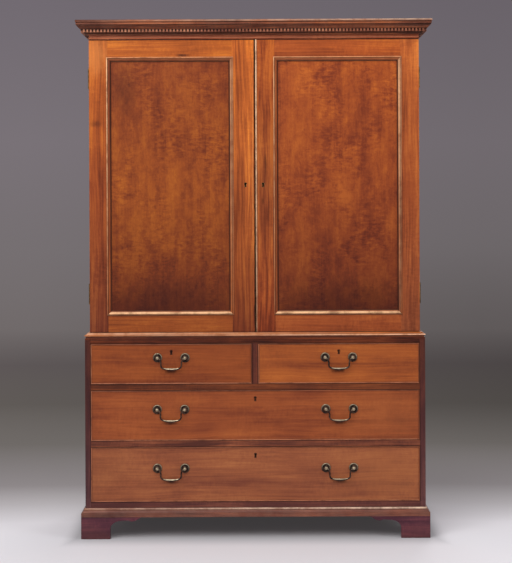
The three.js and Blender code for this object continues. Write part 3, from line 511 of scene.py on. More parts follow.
# %% Marks on single members
LEFT_EDGE, GAP_X = door_low.x, door_high.x
FRIEZE_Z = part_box("frieze_rail")[0].z
PANEL_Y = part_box("door_left_panel")[0].y
# The dark colour marks real smudges and a chip, and also painted shadows; the pale one a worn edge and a painted
# pool of light.
SMUDGE_AND_SHADOW, PALE, PALER_PATCH = colour(48, 16, 8), colour(232, 146, 74), colour(200, 125, 66)
WIDE = 20
SHORT_PULL_X, PULL_X, UNDER_GRIP = 0.309, 0.311, 50 * MM
# A painted shadow along the gap over the top of the doors.
TOP_GAP_SHADOW = ((0, CUPBOARD_Y, door_high.z), (WIDE, WIDE, 2.6 * MM), SMUDGE_AND_SHADOW, 0.75)


def on_door(x, z, size, tone, strength):
    """A spot on the face of a door: its centre, size, colour and strength."""
    return (x, CUPBOARD_Y, z), size, tone, strength


def grip_shadows(z, *middles):
    """A painted shadow under each grip."""
    return [((x, CHEST_Y, z - UNDER_GRIP), (34 * MM, 1, 10 * MM), SMUDGE_AND_SHADOW, 0.85) for x in middles]


SPOTS = {
    # Painted shadows under the grips; a paler patch on the right of the two long drawers, and a darker one on the
    # left of the bottom drawer.
    "short_left": grip_shadows(0.665, -SHORT_PULL_X), "short_right": grip_shadows(0.665, SHORT_PULL_X),
    "middle": [*grip_shadows(0.4745, -PULL_X, PULL_X), ((0.49, CHEST_Y, 0.45), (0.28, 1, 0.13), PALER_PATCH, 0.09)],
    "bottom": [*grip_shadows(0.2575, -PULL_X, PULL_X), ((0.49, CHEST_Y, 0.235), (0.28, 1, 0.15), PALER_PATCH, 0.18),
               ((-0.57, CHEST_Y, 0.235), (0.2, 1, 0.15), SMUDGE_AND_SHADOW, 0.12)],
    # A painted pool of light at the top of the left stile, and a smudge below it.
    "left_stile": [on_door(LEFT_EDGE + 0.024, 1.790, (0.08, 1, 0.12), PALE, 0.35),
                   on_door(LEFT_EDGE + 0.026, 1.530, (0.035, 1, 0.018), SMUDGE_AND_SHADOW, 0.45), TOP_GAP_SHADOW],
    "left_top_rail": [on_door(LEFT_EDGE + 0.348, 1.7825, (0.034, 1, 0.008), SMUDGE_AND_SHADOW, 0.85), TOP_GAP_SHADOW],
    "right_top_rail": [TOP_GAP_SHADOW], "right_stile": [TOP_GAP_SHADOW],
    "right_meeting": [TOP_GAP_SHADOW, on_door(0.041, 1.383, (9 * MM, 1, 0.055), SMUDGE_AND_SHADOW, 0.5),
                      on_door(0.031, 1.242, (9 * MM, 1, 0.026), SMUDGE_AND_SHADOW, 0.5)],
    # A painted shadow along the meeting gap, a smudge lower down, and a paler worn edge.
    "left_meeting": [on_door(GAP_X + MM, 1.3, (6 * MM, WIDE, WIDE), SMUDGE_AND_SHADOW, 1.0),
                     on_door(GAP_X, 0.82, (9 * MM, 1, 0.06), SMUDGE_AND_SHADOW, 0.9), TOP_GAP_SHADOW,
                     on_door(GAP_X - 7 * MM, 1.35, (3.5 * MM, WIDE, 0.5), PALE, 0.5)],
    # The panels are darker towards the bottom.
    "left_panel": [((-0.33, PANEL_Y, 0.86), (0.4, 1, 0.13), SMUDGE_AND_SHADOW, 0.4),
                   ((-0.48, PANEL_Y, 1.66), (0.07, 1, 0.13), SMUDGE_AND_SHADOW, 0.35)],
    "right_panel": [((0.33, PANEL_Y, 0.86), (0.4, 1, 0.13), SMUDGE_AND_SHADOW, 0.45)],
    # A painted shadow in the gap under the frieze, and a painted highlight on its bead above.
    "frieze": [on_door(0, FRIEZE_Z, (WIDE, WIDE, 2.8 * MM), SMUDGE_AND_SHADOW, 1.0),
               on_door(0, FRIEZE_Z + 7 * MM, (WIDE, WIDE, 3.4 * MM), colour(190, 124, 94), 0.4)],
}
print("marks on", list(SPOTS))

# %% [markdown]
# The thin coat stands for the shellac polish over the wood. Bump stays faint, because a polished surface is
# nearly flat and only the open pores catch the light.

# %% Wood finishes
GRAIN_TURNS = {"x": (0, -math.pi / 2, 0), "y": (math.pi / 2, 0, 0), "z": (0, 0, 0)}
finish_cache = {}


def wood(kind, grain="z"):
    """The finish of one kind of wood with its grain along one axis, made once."""
    label = f"{kind}_wood_{grain}"
    if label in finish_cache:
        return finish_cache[label]
    pale, middle, deep, *figure = WOODS[KINDS.get(kind, kind)]
    recipe = {"Pale": colour(*pale), "Middle": colour(*middle), "Deep": colour(*deep),
              **dict(zip(FIGURE, figure)), **CHANGES.get(kind, {})}
    made, tree, place = new_material(label)
    own = vectors(tree, "ADD", place, add(tree, "Attribute", attribute_name="log_place").outputs["Vector"])
    turned = add(tree, "Mapping", {"Vector": own, "Rotation": GRAIN_TURNS[grain]}).outputs[0]
    sawn = place_group(tree, wood_group, {"Place": turned, **recipe})
    tone = sawn["Colour"]
    # Painted light and reflection by height, or one tint for the member.
    if kind in PAINTED_LIGHT_BY_HEIGHT or kind in TONE_AND_LIGHT_TINTS:
        low_tint, middle_tint, high_tint = PAINTED_LIGHT_BY_HEIGHT[kind] if kind in PAINTED_LIGHT_BY_HEIGHT else [TONE_AND_LIGHT_TINTS[kind]] * 3
        low_z, high_z = SIDE_SPAN if kind == "chest_side" else DOOR_SPAN
        tone = place_group(tree, light_by_height_group, {
            "Place": place, "Colour": tone, "Low": low_z, "High": high_z,
            "Low Tint": low_tint, "Middle Tint": middle_tint, "High Tint": high_tint})["Colour"]
    for centre, size, spot_colour, strength in SPOTS.get(kind, ()):
        tone = place_group(tree, spot_group, {
            "Place": place, "Colour": tone, "Centre": centre, "Size": size,
            "Spot Colour": spot_colour, "Strength": strength})["Colour"]
    aged = place_group(tree, age_group, {
        "Place": own, "Colour": tone, "Roughness": sawn["Roughness"],
        "Rubbed Highlight": colour(*RUBBED_HIGHLIGHT.get(kind, RUBBED_HIGHLIGHT_FRONT)), "Grime Shade Amount": GRIME_SHADE.get(kind, GRIME_SHADE_ELSEWHERE)})
    bump = add(tree, "Bump", {"Height": sawn["Height"], "Strength": 0.25, "Distance": 0.0004})
    surface(tree, add(tree, "BsdfPrincipled", {
        "Base Color": aged["Colour"], "Roughness": aged["Roughness"], "Normal": bump.outputs[0],
        "Coat Weight": 0.0 if kind in UNPOLISHED else POLISH, "Coat Roughness": 0.18, "Specular IOR Level": 0.16}))
    finish_cache[label] = made
    return made


print("wood finishes ready")

# %% [markdown]
# ## Brass
#
# The pulls are cast brass that has gone dark brown in its hollows and stays bright where fingers and cloths
# reach: the heads of the posts, and the rims of the roses and the grips, which are palest on top, a painted
# highlight from the light above. The same attribute that marks rubbed wood marks them.

# %% Brass finish
group, takes, gives = new_group("tarnish", {
    "Place": (0, 0, 0), "Bright": colour(214, 198, 164), "Brown": colour(84, 62, 50), "Black": colour(34, 22, 19),
}, ("Colour", "Roughness", "Height"))
tarnish_group = group
worn = add(group, "Attribute", attribute_name="worn").outputs["Fac"]
freckles = noise(group, takes["Place"], (420, 420, 420), detail=4, roughness=0.65)
stains = noise(group, takes["Place"], (110, 110, 110))
under = blend(group, span(group, stains, 0.38, 0.62), takes["Black"], takes["Brown"])
shine = sums(group, "MULTIPLY", worn, span(group, freckles, 0.32, 0.6, 0.3, 1.0))
give(group, gives, Colour=blend(group, shine, under, takes["Bright"]),
     Roughness=span(group, shine, 0, 1, 0.42, 0.22), Height=freckles)


def brass(name, bare=1.0, **changes):
    """Old brass, with its own tones. The less bare it is, the duller it shines."""
    made, tree, place = new_material(name)
    aged = place_group(tree, tarnish_group, {"Place": place, **changes})
    bump = add(tree, "Bump", {"Height": aged["Height"], "Strength": 0.3, "Distance": 0.0003})
    surface(tree, add(tree, "BsdfPrincipled", {
        "Base Color": aged["Colour"], "Roughness": aged["Roughness"], "Metallic": bare,
        "Normal": bump.outputs[0]}))
    return made


pull_brass = brass("pull_brass", 0.6)
hinge_brass = brass("hinge_brass", Brown=colour(150, 124, 84), Black=colour(110, 92, 62))
thread_brass = brass("thread_brass", Brown=colour(186, 150, 98), Black=colour(128, 92, 58))
lock_brass = brass("lock_brass", Brown=colour(168, 136, 84), Black=colour(104, 82, 50))
# Near-black iron for the lock cases and drawer threads, darker than old iron so the keyholes read dark, a painted
# shade; the back nails share it.
shadow_iron, tree, place = new_material("keyhole_shade_iron")
rust = span(tree, noise(tree, place, (300, 300, 300), detail=4), 0.4, 0.6)
surface(tree, add(tree, "BsdfPrincipled", {
    "Base Color": blend(tree, rust, colour(8, 4, 3), colour(20, 11, 8)), "Roughness": 0.6, "Metallic": 0.6}))
print("metals", pull_brass.name, hinge_brass.name, lock_brass.name, shadow_iron.name)

# %% [markdown]
# ## From bmesh to piece
#
# Each new piece is shaped in a bmesh, so its object can stay at the origin with its place in its mesh, as the
# frame's own parts do. This one function ends every piece: it points the faces outwards, gives the piece its
# place on the log, its worn crests with their painted highlights and its dirt with its painted shade, softens
# the arrises with a small Bevel, and puts it on its body.

# %% Finishing a piece
LOG_STEP = Vector((0.731, 0.517, 1.933))
SMOOTH_ANGLE, ARRIS_ANGLE = math.radians(32), math.radians(35)
SAME_POINT = 1e-6
made_pieces = []


def ease_edges(piece, width):
    """A small Bevel modifier on the sharp edges only, because no hand-made arris is a knife edge."""
    arris = piece.modifiers.new("arris", "BEVEL")
    arris.width = width
    arris.segments = 2
    arris.limit_method = "ANGLE"
    arris.angle_limit = ARRIS_ANGLE


def finish_piece(name, bm, body, finish, slot="mahogany_front", arris=0.0, worn=None, soil_shade=None, replaces=()):
    """Turns a bmesh into a piece. The two functions after arris give, for a point, its pale amount, wear with
    painted highlight, and its dark amount, dirt with painted shade.
    """
    bmesh.ops.remove_doubles(bm, verts=bm.verts, dist=SAME_POINT)
    bmesh.ops.recalc_face_normals(bm, faces=bm.faces)
    mesh = bpy.data.meshes.new(name)
    bm.to_mesh(mesh)
    bm.free()
    mesh.materials.append(finish)
    mesh.shade_smooth()
    mesh.set_sharp_from_angle(angle=SMOOTH_ANGLE)
    log_place = mesh.attributes.new("log_place", "FLOAT_VECTOR", "POINT")
    offset = LOG_STEP * (len(made_pieces) + 1)
    log_place.data.foreach_set("vector", list(offset) * len(mesh.vertices))
    for label, amount in (("worn", worn), ("soil_shade", soil_shade)):
        if amount:
            layer = mesh.attributes.new(label, "FLOAT", "POINT")
            layer.data.foreach_set("value", [float(amount(v.co)) for v in mesh.vertices])
    piece = linked(name, mesh)
    if arris:
        ease_edges(piece, arris)
    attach(piece, body)
    if replaces:
        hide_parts(*replaces)
    made_pieces.append(piece)


def metal(name, bm, body, finish=hinge_brass, **rest):
    """A piece of brass or iron."""
    finish_piece(name, bm, body, finish, "brass", **rest)


def block(low, high):
    """A rectangular block between two corners, as a bmesh."""
    low, high = Vector(low), Vector(high)
    bm = bmesh.new()
    bmesh.ops.create_cube(bm, size=1.0)
    bmesh.ops.scale(bm, verts=bm.verts, vec=high - low)
    bmesh.ops.translate(bm, verts=bm.verts, vec=(low + high) / 2)
    return bm


def merged(target, other):
    """Adds one bmesh to another and frees it."""
    spare = bpy.data.meshes.new("spare")
    other.to_mesh(spare)
    other.free()
    target.from_mesh(spare)
    bpy.data.meshes.remove(spare)
    return target


def saw(bm, point, normal):
    """Cuts a bmesh with a plane, takes away what lies in front of it and closes the cut."""
    cut = bmesh.ops.bisect_plane(
        bm, geom=[*bm.verts, *bm.edges, *bm.faces], plane_co=point, plane_no=normal, clear_outer=True)
    rim = [edge for edge in cut["geom_cut"] if isinstance(edge, bmesh.types.BMEdge)]
    bmesh.ops.triangle_fill(bm, edges=rim, use_beauty=True)


def extruded(points, run):
    """A flat outline pushed along a vector."""
    bm = bmesh.new()
    face = bm.faces.new([bm.verts.new(point) for point in points])
    moved = bmesh.ops.extrude_face_region(bm, geom=[face])["geom"]
    bmesh.ops.translate(bm, verts=[v for v in moved if isinstance(v, bmesh.types.BMVert)], vec=run)
    return bm


print("tools for pieces ready")

# %% [markdown]
# ## The boards of the frame
#
# The carcase boards, dustboards, trays and drawer boxes are right as the CAD has them, joints included, so
# they stay. An imported CAD mesh is loose triangles: a Weld joins them, a planar Decimate takes out the lines
# across flat faces, and a Bevel then finds the true edges. Grain runs the way a joiner would have cut it.

# %% Dress the frame's boards
BOARD_ARRIS, FINE_ARRIS, BOX_ARRIS = 0.6 * MM, 0.3 * MM, 0.4 * MM
WELD_REACH = 0.01 * MM
FLAT_ANGLE = math.radians(0.5)


def dress(name, kind, grain, arris=BOARD_ARRIS):
    """Gives a CAD node its finish and eased edges, without touching its mesh."""
    node = nodes[name]
    for holder in node.material_slots:
        holder.material = wood(kind, grain)
    node.modifiers.new("weld", "WELD").merge_threshold = WELD_REACH
    flat = node.modifiers.new("flat", "DECIMATE")
    flat.decimate_type = "DISSOLVE"
    flat.angle_limit = FLAT_ANGLE
    ease_edges(node, arris)


BOARDS = {
    "base_bottom_board": "bottom_rail", "base_top_board": "dark", "lower_dustboard": "low_rail",
    "upper_dustboard": "mid_rail", "top_drawer_rail": "top_rail", "frieze_rail": "frieze",
    "upper_bottom_board": "lining", "upper_top_board": "lining",
    **{f"linen_tray_{level}": "lining" for level in range(1, 5)},
}
for _, word in SIDES:
    dress(f"upper_side_{word}", "dark", "z")
    dress(f"base_side_{word}", "chest_side", "z")
    dress(f"foot_back_{word}", "dark", "x")
for name, kind in BOARDS.items():
    dress(name, kind, "x")
dress("drawer_divider", "dark", "z")
dress("dentil_band", "dentil", "x", FINE_ARRIS)
for drawer in DRAWERS:
    dress(f"drawer_{drawer}_front", drawer, "x", FINE_ARRIS)
    dress(f"drawer_{drawer}_box", "lining", "y", BOX_ARRIS)
print("boards dressed")

# %% [markdown]
# ## Mouldings
#
# A joiner makes a moulding as one long run and saws it into lengths that meet on a mitre. This function does
# the same: a section is extruded along each leg of a path, a little too long, and both ends are sawn on the
# plane that halves the corner. The section is drawn as (out, up) points in mm, where out is along x up.


# %% Mitred runs
def arc(centre, radius, from_degrees, to_degrees, steps):
    """Points along an arc."""
    turns = [from_degrees + (to_degrees - from_degrees) * i / steps for i in range(steps + 1)]
    return [(centre[0] + radius * math.cos(math.radians(t)), centre[1] + radius * math.sin(math.radians(t)))
            for t in turns]


def ogee(start, end, steps):
    """An S curve that leaves both ends level."""
    shares = [i / steps for i in range(steps + 1)]
    return [(start[0] + (end[0] - start[0]) * t,
             start[1] + (end[1] - start[1]) * (1 - math.cos(math.pi * t)) / 2) for t in shares]


def mitred_lengths(section, corners, up, closed=False):
    """One bmesh for each leg of the path, mitred where legs meet and square at open ends."""
    corners = [Vector(corner) for corner in corners]
    up = Vector(up)
    count = len(corners)
    legs = count if closed else count - 1
    spare = max(abs(out) for out, _ in section) * 1.5
    directions = [(corners[(i + 1) % count] - corners[i]).normalized() for i in range(legs)]
    lengths = []
    for i, along in enumerate(directions):
        start, end = corners[i], corners[(i + 1) % count]
        before = directions[i - 1] if closed or i else along
        after = directions[(i + 1) % legs] if closed or i + 1 < legs else along
        out = along.cross(up)
        ring = [start - along * spare + out * u * MM + up * v * MM for u, v in section]
        bm = extruded(ring, end - start + along * spare * 2)
        saw(bm, start, -(before + along))
        saw(bm, end, along + after)
        lengths.append(bm)
    return lengths


def wrapped(node, prefix, section, half, front_y, z, slot, worn, kind=None, soil_shade=None):
    """A moulding across the front with a return on each side, in place of a CAD node or of a part of it."""
    corners = [(-half, BACK_Y, z), (-half, front_y, z), (half, front_y, z), (half, BACK_Y, z)]
    lengths = mitred_lengths(section, corners, (0, 0, 1))
    for word, grain, length in zip(("left", "front", "right"), "yxy", lengths):
        finish_piece(f"{prefix}_{word}", length, "carcase", wood(kind or prefix, grain), slot,
                     worn=worn, soil_shade=soil_shade, replaces=(node,))


def framed(section, x0, x1, y, z0, z1):
    """The four lengths of a moulding round an upright rectangle, each with its place and grain."""
    corners = [(x1, y, z0), (x1, y, z1), (x0, y, z1), (x0, y, z0)]
    lengths = mitred_lengths(section, corners, (0, -1, 0), closed=True)
    return zip(("right", "top", "left", "bottom"), "zxzx", lengths)


def share_between(value, low, high):
    """How far a value is from low to high, from 0 to 1."""
    return min(1, max(0, (value - low) / (high - low)))


print("moulding tools ready")

# %% [markdown]
# ## Cornice
#
# The cornice is a loose frame that drops over the cupboard. Its section is, from the bottom, a small bed
# moulding, the flat bed that carries the dentils, a cyma that throws the crown forward, a quirk, a flat band,
# a second quirk and the top fillet. A plain rail closes the back, and small glue blocks hold it from inside.

# %% Cornice lengths
corn_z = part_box("cornice")[0].z
CORNICE_SECTION = [
    (-20, 53), (-20, 8.3), (0.3, 8.3), (0.3, 0), (4.6, 0), (5, 0.4), (5, 4.4), *ogee((5, 4.4), (17, 9), 8)[1:],
    (17, 20), (28.5, 20), *ogee((28.5, 21), (41, 32), 14), (41, 33.6), (38.5, 33.6), (38.5, 35.6), (43, 35.6),
    (43.4, 36), (43.4, 42.6), (43, 43), (40, 43), (40, 45.2), (45.1, 45.2), (45.5, 45.6), (45.5, 52.5), (45, 53),
]
BED_RISES, OGEE_RISES, FILLET_RISES = (5 * MM, 20.2 * MM), (24 * MM, 33 * MM), (49 * MM, 52.8 * MM)
QUIRK_RISES = ((33.5 * MM, 35.5 * MM), (42.9 * MM, 45.1 * MM))
FILLET_FADE = 0.35


def within(rise, limits):
    return limits[0] < rise < limits[1]


def crown_wear_highlight(co):
    """The face of the top fillet is paler, more towards the right, a painted highlight; all else is hardly paler.
    """
    if within(co.z - corn_z, FILLET_RISES):
        return 0.02 + 0.98 * share_between(co.x, -FILLET_FADE, 0)
    return 0.05


def crown_grime_shade(co):
    """Painted shade with dirt fills both quirks and all that lies behind the dentils; a lighter painted shade
    dulls the ogee under the crown, and the fillet is darker towards the left.
    """
    rise = co.z - corn_z
    if within(rise, FILLET_RISES):
        return 0.55 * share_between(-co.x, 0, FILLET_FADE)
    if any(within(rise, quirk) for quirk in QUIRK_RISES) or within(rise, BED_RISES):
        return 0.85
    return 0.25 if within(rise, OGEE_RISES) else 0.0


wrapped("cornice", "cornice", CORNICE_SECTION, UPPER_HALF, CUPBOARD_Y, corn_z, "mahogany_front", crown_wear_highlight,
        soil_shade=crown_grime_shade)
CORNICE_WALL = 20 * MM
rail_low = (-UPPER_HALF + CORNICE_WALL, BACK_Y - CORNICE_WALL, corn_z + 8.3 * MM)
finish_piece("cornice_back_rail", block(rail_low, (UPPER_HALF - CORNICE_WALL, BACK_Y, TOP_Z)), "carcase",
             wood("deal", "x"), arris=BOARD_ARRIS)
print("cornice mitred")

# %% Cornice glue blocks
GLUE_BLOCK, GLUE_ARRIS = Vector((70, 22, 30)) * MM, 2 * MM


def glue_block(name, corner, size, grain):
    """A block with its long arris planed off, rubbed into an inside corner."""
    low = Vector([min(c, c + s) for c, s in zip(corner, size)])
    high = Vector([max(c, c + s) for c, s in zip(corner, size)])
    finish_piece(name, block(low, high), "carcase", wood("deal", grain), "lining_wood", arris=GLUE_ARRIS)


block_z = rail_low[2] + 0.2 * MM
for i, share in enumerate((-0.82, -0.4, 0, 0.4, 0.82)):
    x = share * (UPPER_HALF - CORNICE_WALL) - GLUE_BLOCK.x / 2
    glue_block(f"cornice_block_{i + 1}", (x, CUPBOARD_Y + CORNICE_WALL, block_z), GLUE_BLOCK, "x")
for side, word in SIDES:
    for i, y in enumerate((-0.12, 0.12)):
        size = (-side * GLUE_BLOCK.y, GLUE_BLOCK.x, GLUE_BLOCK.z)
        glue_block(f"cornice_block_{word}_{i + 1}", (side * (UPPER_HALF - CORNICE_WALL), y, block_z), size, "y")
print("cornice blocks rubbed in")

# %% [markdown]
# ## Waist and base mouldings
#
# The cupboard stands inside a round-nosed waist moulding that is planted on the chest top. Its bead is rubbed
# and carries a painted highlight from the light above, so it reads as a pale line. The chest stands on a wider
# base moulding, a deep fascia under an ogee, which also carries the feet.

# %% Waist moulding
top_low, top_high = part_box("base_top_board")
WAIST_RISE, STEP_RISE, STEP_SET, BOARD_OVER = 12 * MM, 19 * MM, 3 * MM, 7 * MM
WAIST_INNER = 16.7
waist_z = top_high.z - WAIST_RISE
step_z = top_high.z - STEP_RISE
WAIST_SECTION = [
    (-WAIST_INNER, 0), (-2, 0), *arc((-2, 3), 3, -90, 90, 12), *ogee((-3, 6), (-13.7, 12), 10), (-WAIST_INNER, 12),
]
WAIST_BEAD = (1.0 * MM, 5.2 * MM)


def waist_wear_highlight(co):
    """Pale on the bead, more so towards the right, and on the slope above it towards the left: a painted highlight
    where they face the light above, over wear.
    """
    right = share_between(co.x, 0, 0.2)
    return 0.05 + 0.95 * right if within(co.z - waist_z, WAIST_BEAD) else 0.6 * (1 - right)


wrapped("base_top_board", "waist", WAIST_SECTION, BASE_HALF, CHEST_Y, waist_z, "mahogany_front", waist_wear_highlight)
LEDGE_BACK_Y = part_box("upper_side_left")[0].y - 0.3 * MM
TOP_BLOCKS = {
    "chest_top": ("top_rail", BOARD_ARRIS, BASE_HALF, (CHEST_Y, BACK_Y), (top_low.z, step_z)),
    "chest_top_step": ("rail", 0, BASE_HALF - STEP_SET, (CHEST_Y + STEP_SET, BACK_Y), (step_z, waist_z)),
    "door_ledge": ("dark", 0, UPPER_HALF, (CHEST_Y + WAIST_INNER * MM, LEDGE_BACK_Y), (waist_z, top_high.z)),
    "chest_top_core": (
        "dark", 0, BASE_HALF - WAIST_INNER * MM, (LEDGE_BACK_Y, BACK_Y), (waist_z, waist_z + BOARD_OVER)),
}
for name, (kind, arris, half, ys, zs) in TOP_BLOCKS.items():
    finish_piece(name, block((-half, ys[0], zs[0]), (half, ys[1], zs[1])), "carcase", wood(kind, "x"),
                 "mahogany_dark", arris=arris, replaces=("base_top_board",))
print("waist at", round(waist_z, 4), "on a step at", round(step_z, 4))

# %% Base moulding
mould_low, mould_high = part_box("base_moulding")
BASE_SECTION = [
    (-60, 0), (14.6, 0), (15, 0.4), (15, 14.6), (14.6, 15), *ogee((13, 15), (4.5, 24.5), 12),
    *arc((1, 28), 3.5, -90, 90, 12), (-60, 31.5),
]
BASE_BEAD_RISE, BASE_FRAME = 24.6 * MM, 60 * MM


def base_wear_highlight(co):
    """Only the bead on top is paler, least at the left corner: wear with a painted highlight where it faces the
    light above.
    """
    bare = 0.3 + 0.65 * share_between(co.x, -BASE_HALF, 0.16 - BASE_HALF)
    return bare if co.z - mould_low.z > BASE_BEAD_RISE else 0.05


wrapped("base_moulding", "base_moulding", BASE_SECTION, BASE_HALF, CHEST_Y, mould_low.z, "mahogany_dark",
        base_wear_highlight, kind="base")
rail = block((-BASE_HALF + BASE_FRAME, BACK_Y - BASE_FRAME, mould_low.z),
             (BASE_HALF - BASE_FRAME, BACK_Y, mould_high.z))
finish_piece("base_back_rail", rail, "carcase", wood("deal", "x"), "mahogany_dark", arris=BOARD_ARRIS,
             replaces=("base_moulding",))
print("base moulding from", round(mould_low.z, 3), "to", round(mould_high.z, 3))

# %% [markdown]
# ## Bracket feet
#
# Each front foot is two boards, cut to a scrolled bracket and mitred at the corner. The outline is drawn along
# the board from the corner: a square pad, a hollow arch, a flat, a small cusp and a tail that dies into the
# moulding. Corner blocks behind them carry the weight.

# %% Front feet
FOOT_BOARD, FOOT_ARRIS = 20 * MM, 0.7 * MM
FOOT_PAD, FOOT_HEEL, FOOT_TOP = 107, 36.5, 79.7
ARCH_RUN, ARCH_RISE = 41, 30.45
BRACKET_OUTLINE = [
    (0, 0), (FOOT_PAD, 0), (FOOT_PAD, FOOT_HEEL),
    *[(FOOT_PAD + ARCH_RUN * (1 + u), FOOT_HEEL + ARCH_RISE * v) for u, v in arc((0, 0), 1, 180, 90, 12)[1:]],
    *ogee((170, 68.45), (187, 64.45), 4), (196, 66), (205, 69.9), (213, 75), (220, FOOT_TOP), (0, FOOT_TOP),
]
CORNER_BLOCK, BLOCK_LIFT = (42, 42, 75), 4 * MM


def foot_wear(co):
    return 0.3 if co.z < 6 * MM else 0.0


for side, word in SIDES:
    foot_low, foot_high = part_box(f"foot_front_{word}")
    corner = Vector((foot_high.x if side > 0 else foot_low.x, foot_low.y, 0))
    for name, grain, run, thickness, mitre in (
            ("front", "x", (-side, 0), (0, FOOT_BOARD, 0), (side, 1, 0)),
            ("side", "y", (0, 1), (-side * FOOT_BOARD, 0, 0), (-side, -1, 0))):
        outline = [corner + Vector((run[0] * u, run[1] * u, v)) * MM for u, v in BRACKET_OUTLINE]
        board = extruded(outline, thickness)
        saw(board, corner, mitre)
        finish_piece(f"foot_{word}_{name}_bracket", board, "carcase", wood("foot", grain), "mahogany_dark",
                     arris=FOOT_ARRIS, worn=foot_wear, replaces=(f"foot_front_{word}",))
    inside = corner + Vector((-side, 1, 0)) * FOOT_BOARD + Vector((0, 0, BLOCK_LIFT))
    wide, deep, tall = CORNER_BLOCK
    glue_block(f"foot_{word}_corner_block", inside, Vector((-side * wide, deep, tall)) * MM, "z")
print("front feet mitred")

# %% [markdown]
# ## Doors
#
# A door is four boards round a panel: two stiles that run the full height and two rails between them, with
# the grain of each along its own length. The frame's door is one solid, so it is replaced by the four boards.
# The hinge stile is relieved for the hinges and the meeting stile has its keyhole, both cut with a Boolean
# whose result is kept as the mesh. The veneered panel of the frame stays.


# %% Cutting tools
def carved(bm, tool):
    """The bmesh with the tool's shape cut out of it."""
    holders = []
    for shape in (bm, tool):
        mesh = bpy.data.meshes.new("spare")
        bmesh.ops.recalc_face_normals(shape, faces=shape.faces)
        shape.to_mesh(mesh)
        shape.free()
        holders.append(linked("spare", mesh))
    cutter = holders[0].modifiers.new("cut", "BOOLEAN")
    cutter.object = holders[1]
    cutter.solver = "EXACT"
    result = bmesh.new()
    result.from_object(holders[0], bpy.context.evaluated_depsgraph_get())
    for holder in holders:
        mesh = holder.data
        bpy.data.objects.remove(holder)
        bpy.data.meshes.remove(mesh)
    return result


def rod(centre, radius, length, axis="z", segments=24):
    """A rod along an axis through a centre, as a bmesh."""
    bm = bmesh.new()
    turn = Matrix.Identity(4) if axis == "z" else Matrix.Rotation(math.pi / 2, 4, "X")
    bmesh.ops.create_cone(bm, cap_ends=True, segments=segments, radius1=radius, radius2=radius, depth=length,
                          matrix=Matrix.Translation(centre) @ turn)
    return bm


KEY_PIN, KEY_SLOT, KEY_FLARE, KEY_DROP, KEY_DEPTH = 4.2 * MM, 4.2 * MM, 0.9 * MM, 11 * MM, 14 * MM


def keyhole_outline(x, z, y, grow=0.0):
    """A keyhole as points: a round pin hole over a slot, the outline grown by a margin."""
    half, radius = KEY_SLOT / 2 + grow, KEY_PIN + grow
    neck = math.degrees(math.asin(half / radius))
    points = [(x + u, y, z + v) for u, v in arc((0, 0), radius, -90 + neck, 270 - neck, 20)]
    foot = half + KEY_FLARE
    return [*points, (x - foot, y, z - KEY_DROP - grow), (x + foot, y, z - KEY_DROP - grow)]


print("cutting tools ready")

# %% Door boards
HINGE_STILE, TOP_RAIL, BOTTOM_RAIL = 69 * MM, 68 * MM, 67 * MM
MEETING_STILE = {"left": 83 * MM, "right": 72 * MM}
KEY_INSET = {"left": 34 * MM, "right": 28 * MM}
KEY_Z = 1305.75 * MM
HINGE_LENGTH, BARREL, LEAF, LEAF_WIDTH = 76 * MM, 4 * MM, 2 * MM, 18 * MM
CUT_ROOM = 0.4 * MM
STILE_ARRIS = 0.25 * MM
hinge_axis = (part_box("hinge_right_top")[1].x - BARREL, (DOOR_BACK_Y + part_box("upper_side_left")[0].y) / 2)


def door_box(side, word):
    """A door's corners at the face of its boards, and the x of its hinged and its meeting edge."""
    low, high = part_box(f"door_{word}_frame")
    low.y = CUPBOARD_Y
    return (low, high, low.x, high.x) if side < 0 else (low, high, high.x, low.x)


def hinge_middle(node):
    low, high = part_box(node)
    return (low.z + high.z) / 2


for side, word in SIDES:
    low, high, outer, inner = door_box(side, word)
    hinge_x = sorted((outer, outer - side * HINGE_STILE))
    meeting_x = sorted((inner, inner + side * MEETING_STILE[word]))
    stile = block((hinge_x[0], low.y, low.z), (hinge_x[1], high.y, high.z))
    for level in ("bottom", "top"):
        centre = (side * hinge_axis[0], hinge_axis[1], hinge_middle(f"hinge_{word}_{level}"))
        stile = carved(stile, rod(centre, BARREL + CUT_ROOM, HINGE_LENGTH + 2 * CUT_ROOM))
    meeting = block((meeting_x[0], low.y, low.z), (meeting_x[1], high.y, high.z))
    hole = keyhole_outline(inner + side * KEY_INSET[word], KEY_Z, low.y - CUT_ROOM)
    meeting = carved(meeting, extruded(hole, (0, KEY_DEPTH + CUT_ROOM, 0)))
    between = sorted((hinge_x, meeting_x))
    rails = {level: block((between[0][1], low.y, z0), (between[1][0], high.y, z1)) for level, z0, z1 in (
        ("bottom", low.z, low.z + BOTTOM_RAIL), ("top", high.z - TOP_RAIL, high.z))}
    for name, bm, kind, grain in (
            ("hinge_stile", stile, "stile", "z"), ("meeting_stile", meeting, "meeting", "z"),
            *((f"{level}_rail", rail, f"{level}_rail", "x") for level, rail in rails.items())):
        finish_piece(f"door_{word}_{name}", bm, f"door_{word}", wood(f"{word}_{kind}", grain),
                     arris=STILE_ARRIS, replaces=(f"door_{word}_frame",))
    dress(f"door_{word}_panel", f"{word}_panel", "z")
print("doors framed")

# %% [markdown]
# The moulding round each panel laps the frame by a few millimetres. Its section is a bead that stands proud
# of the frame, a quirk, a lip, and an ogee that falls to the panel. Hands and dusters rub it, and a painted
# highlight over that wear makes it palest near the top and where it faces the light above and on the left. The
# right door also carries a half-round bead over the gap.

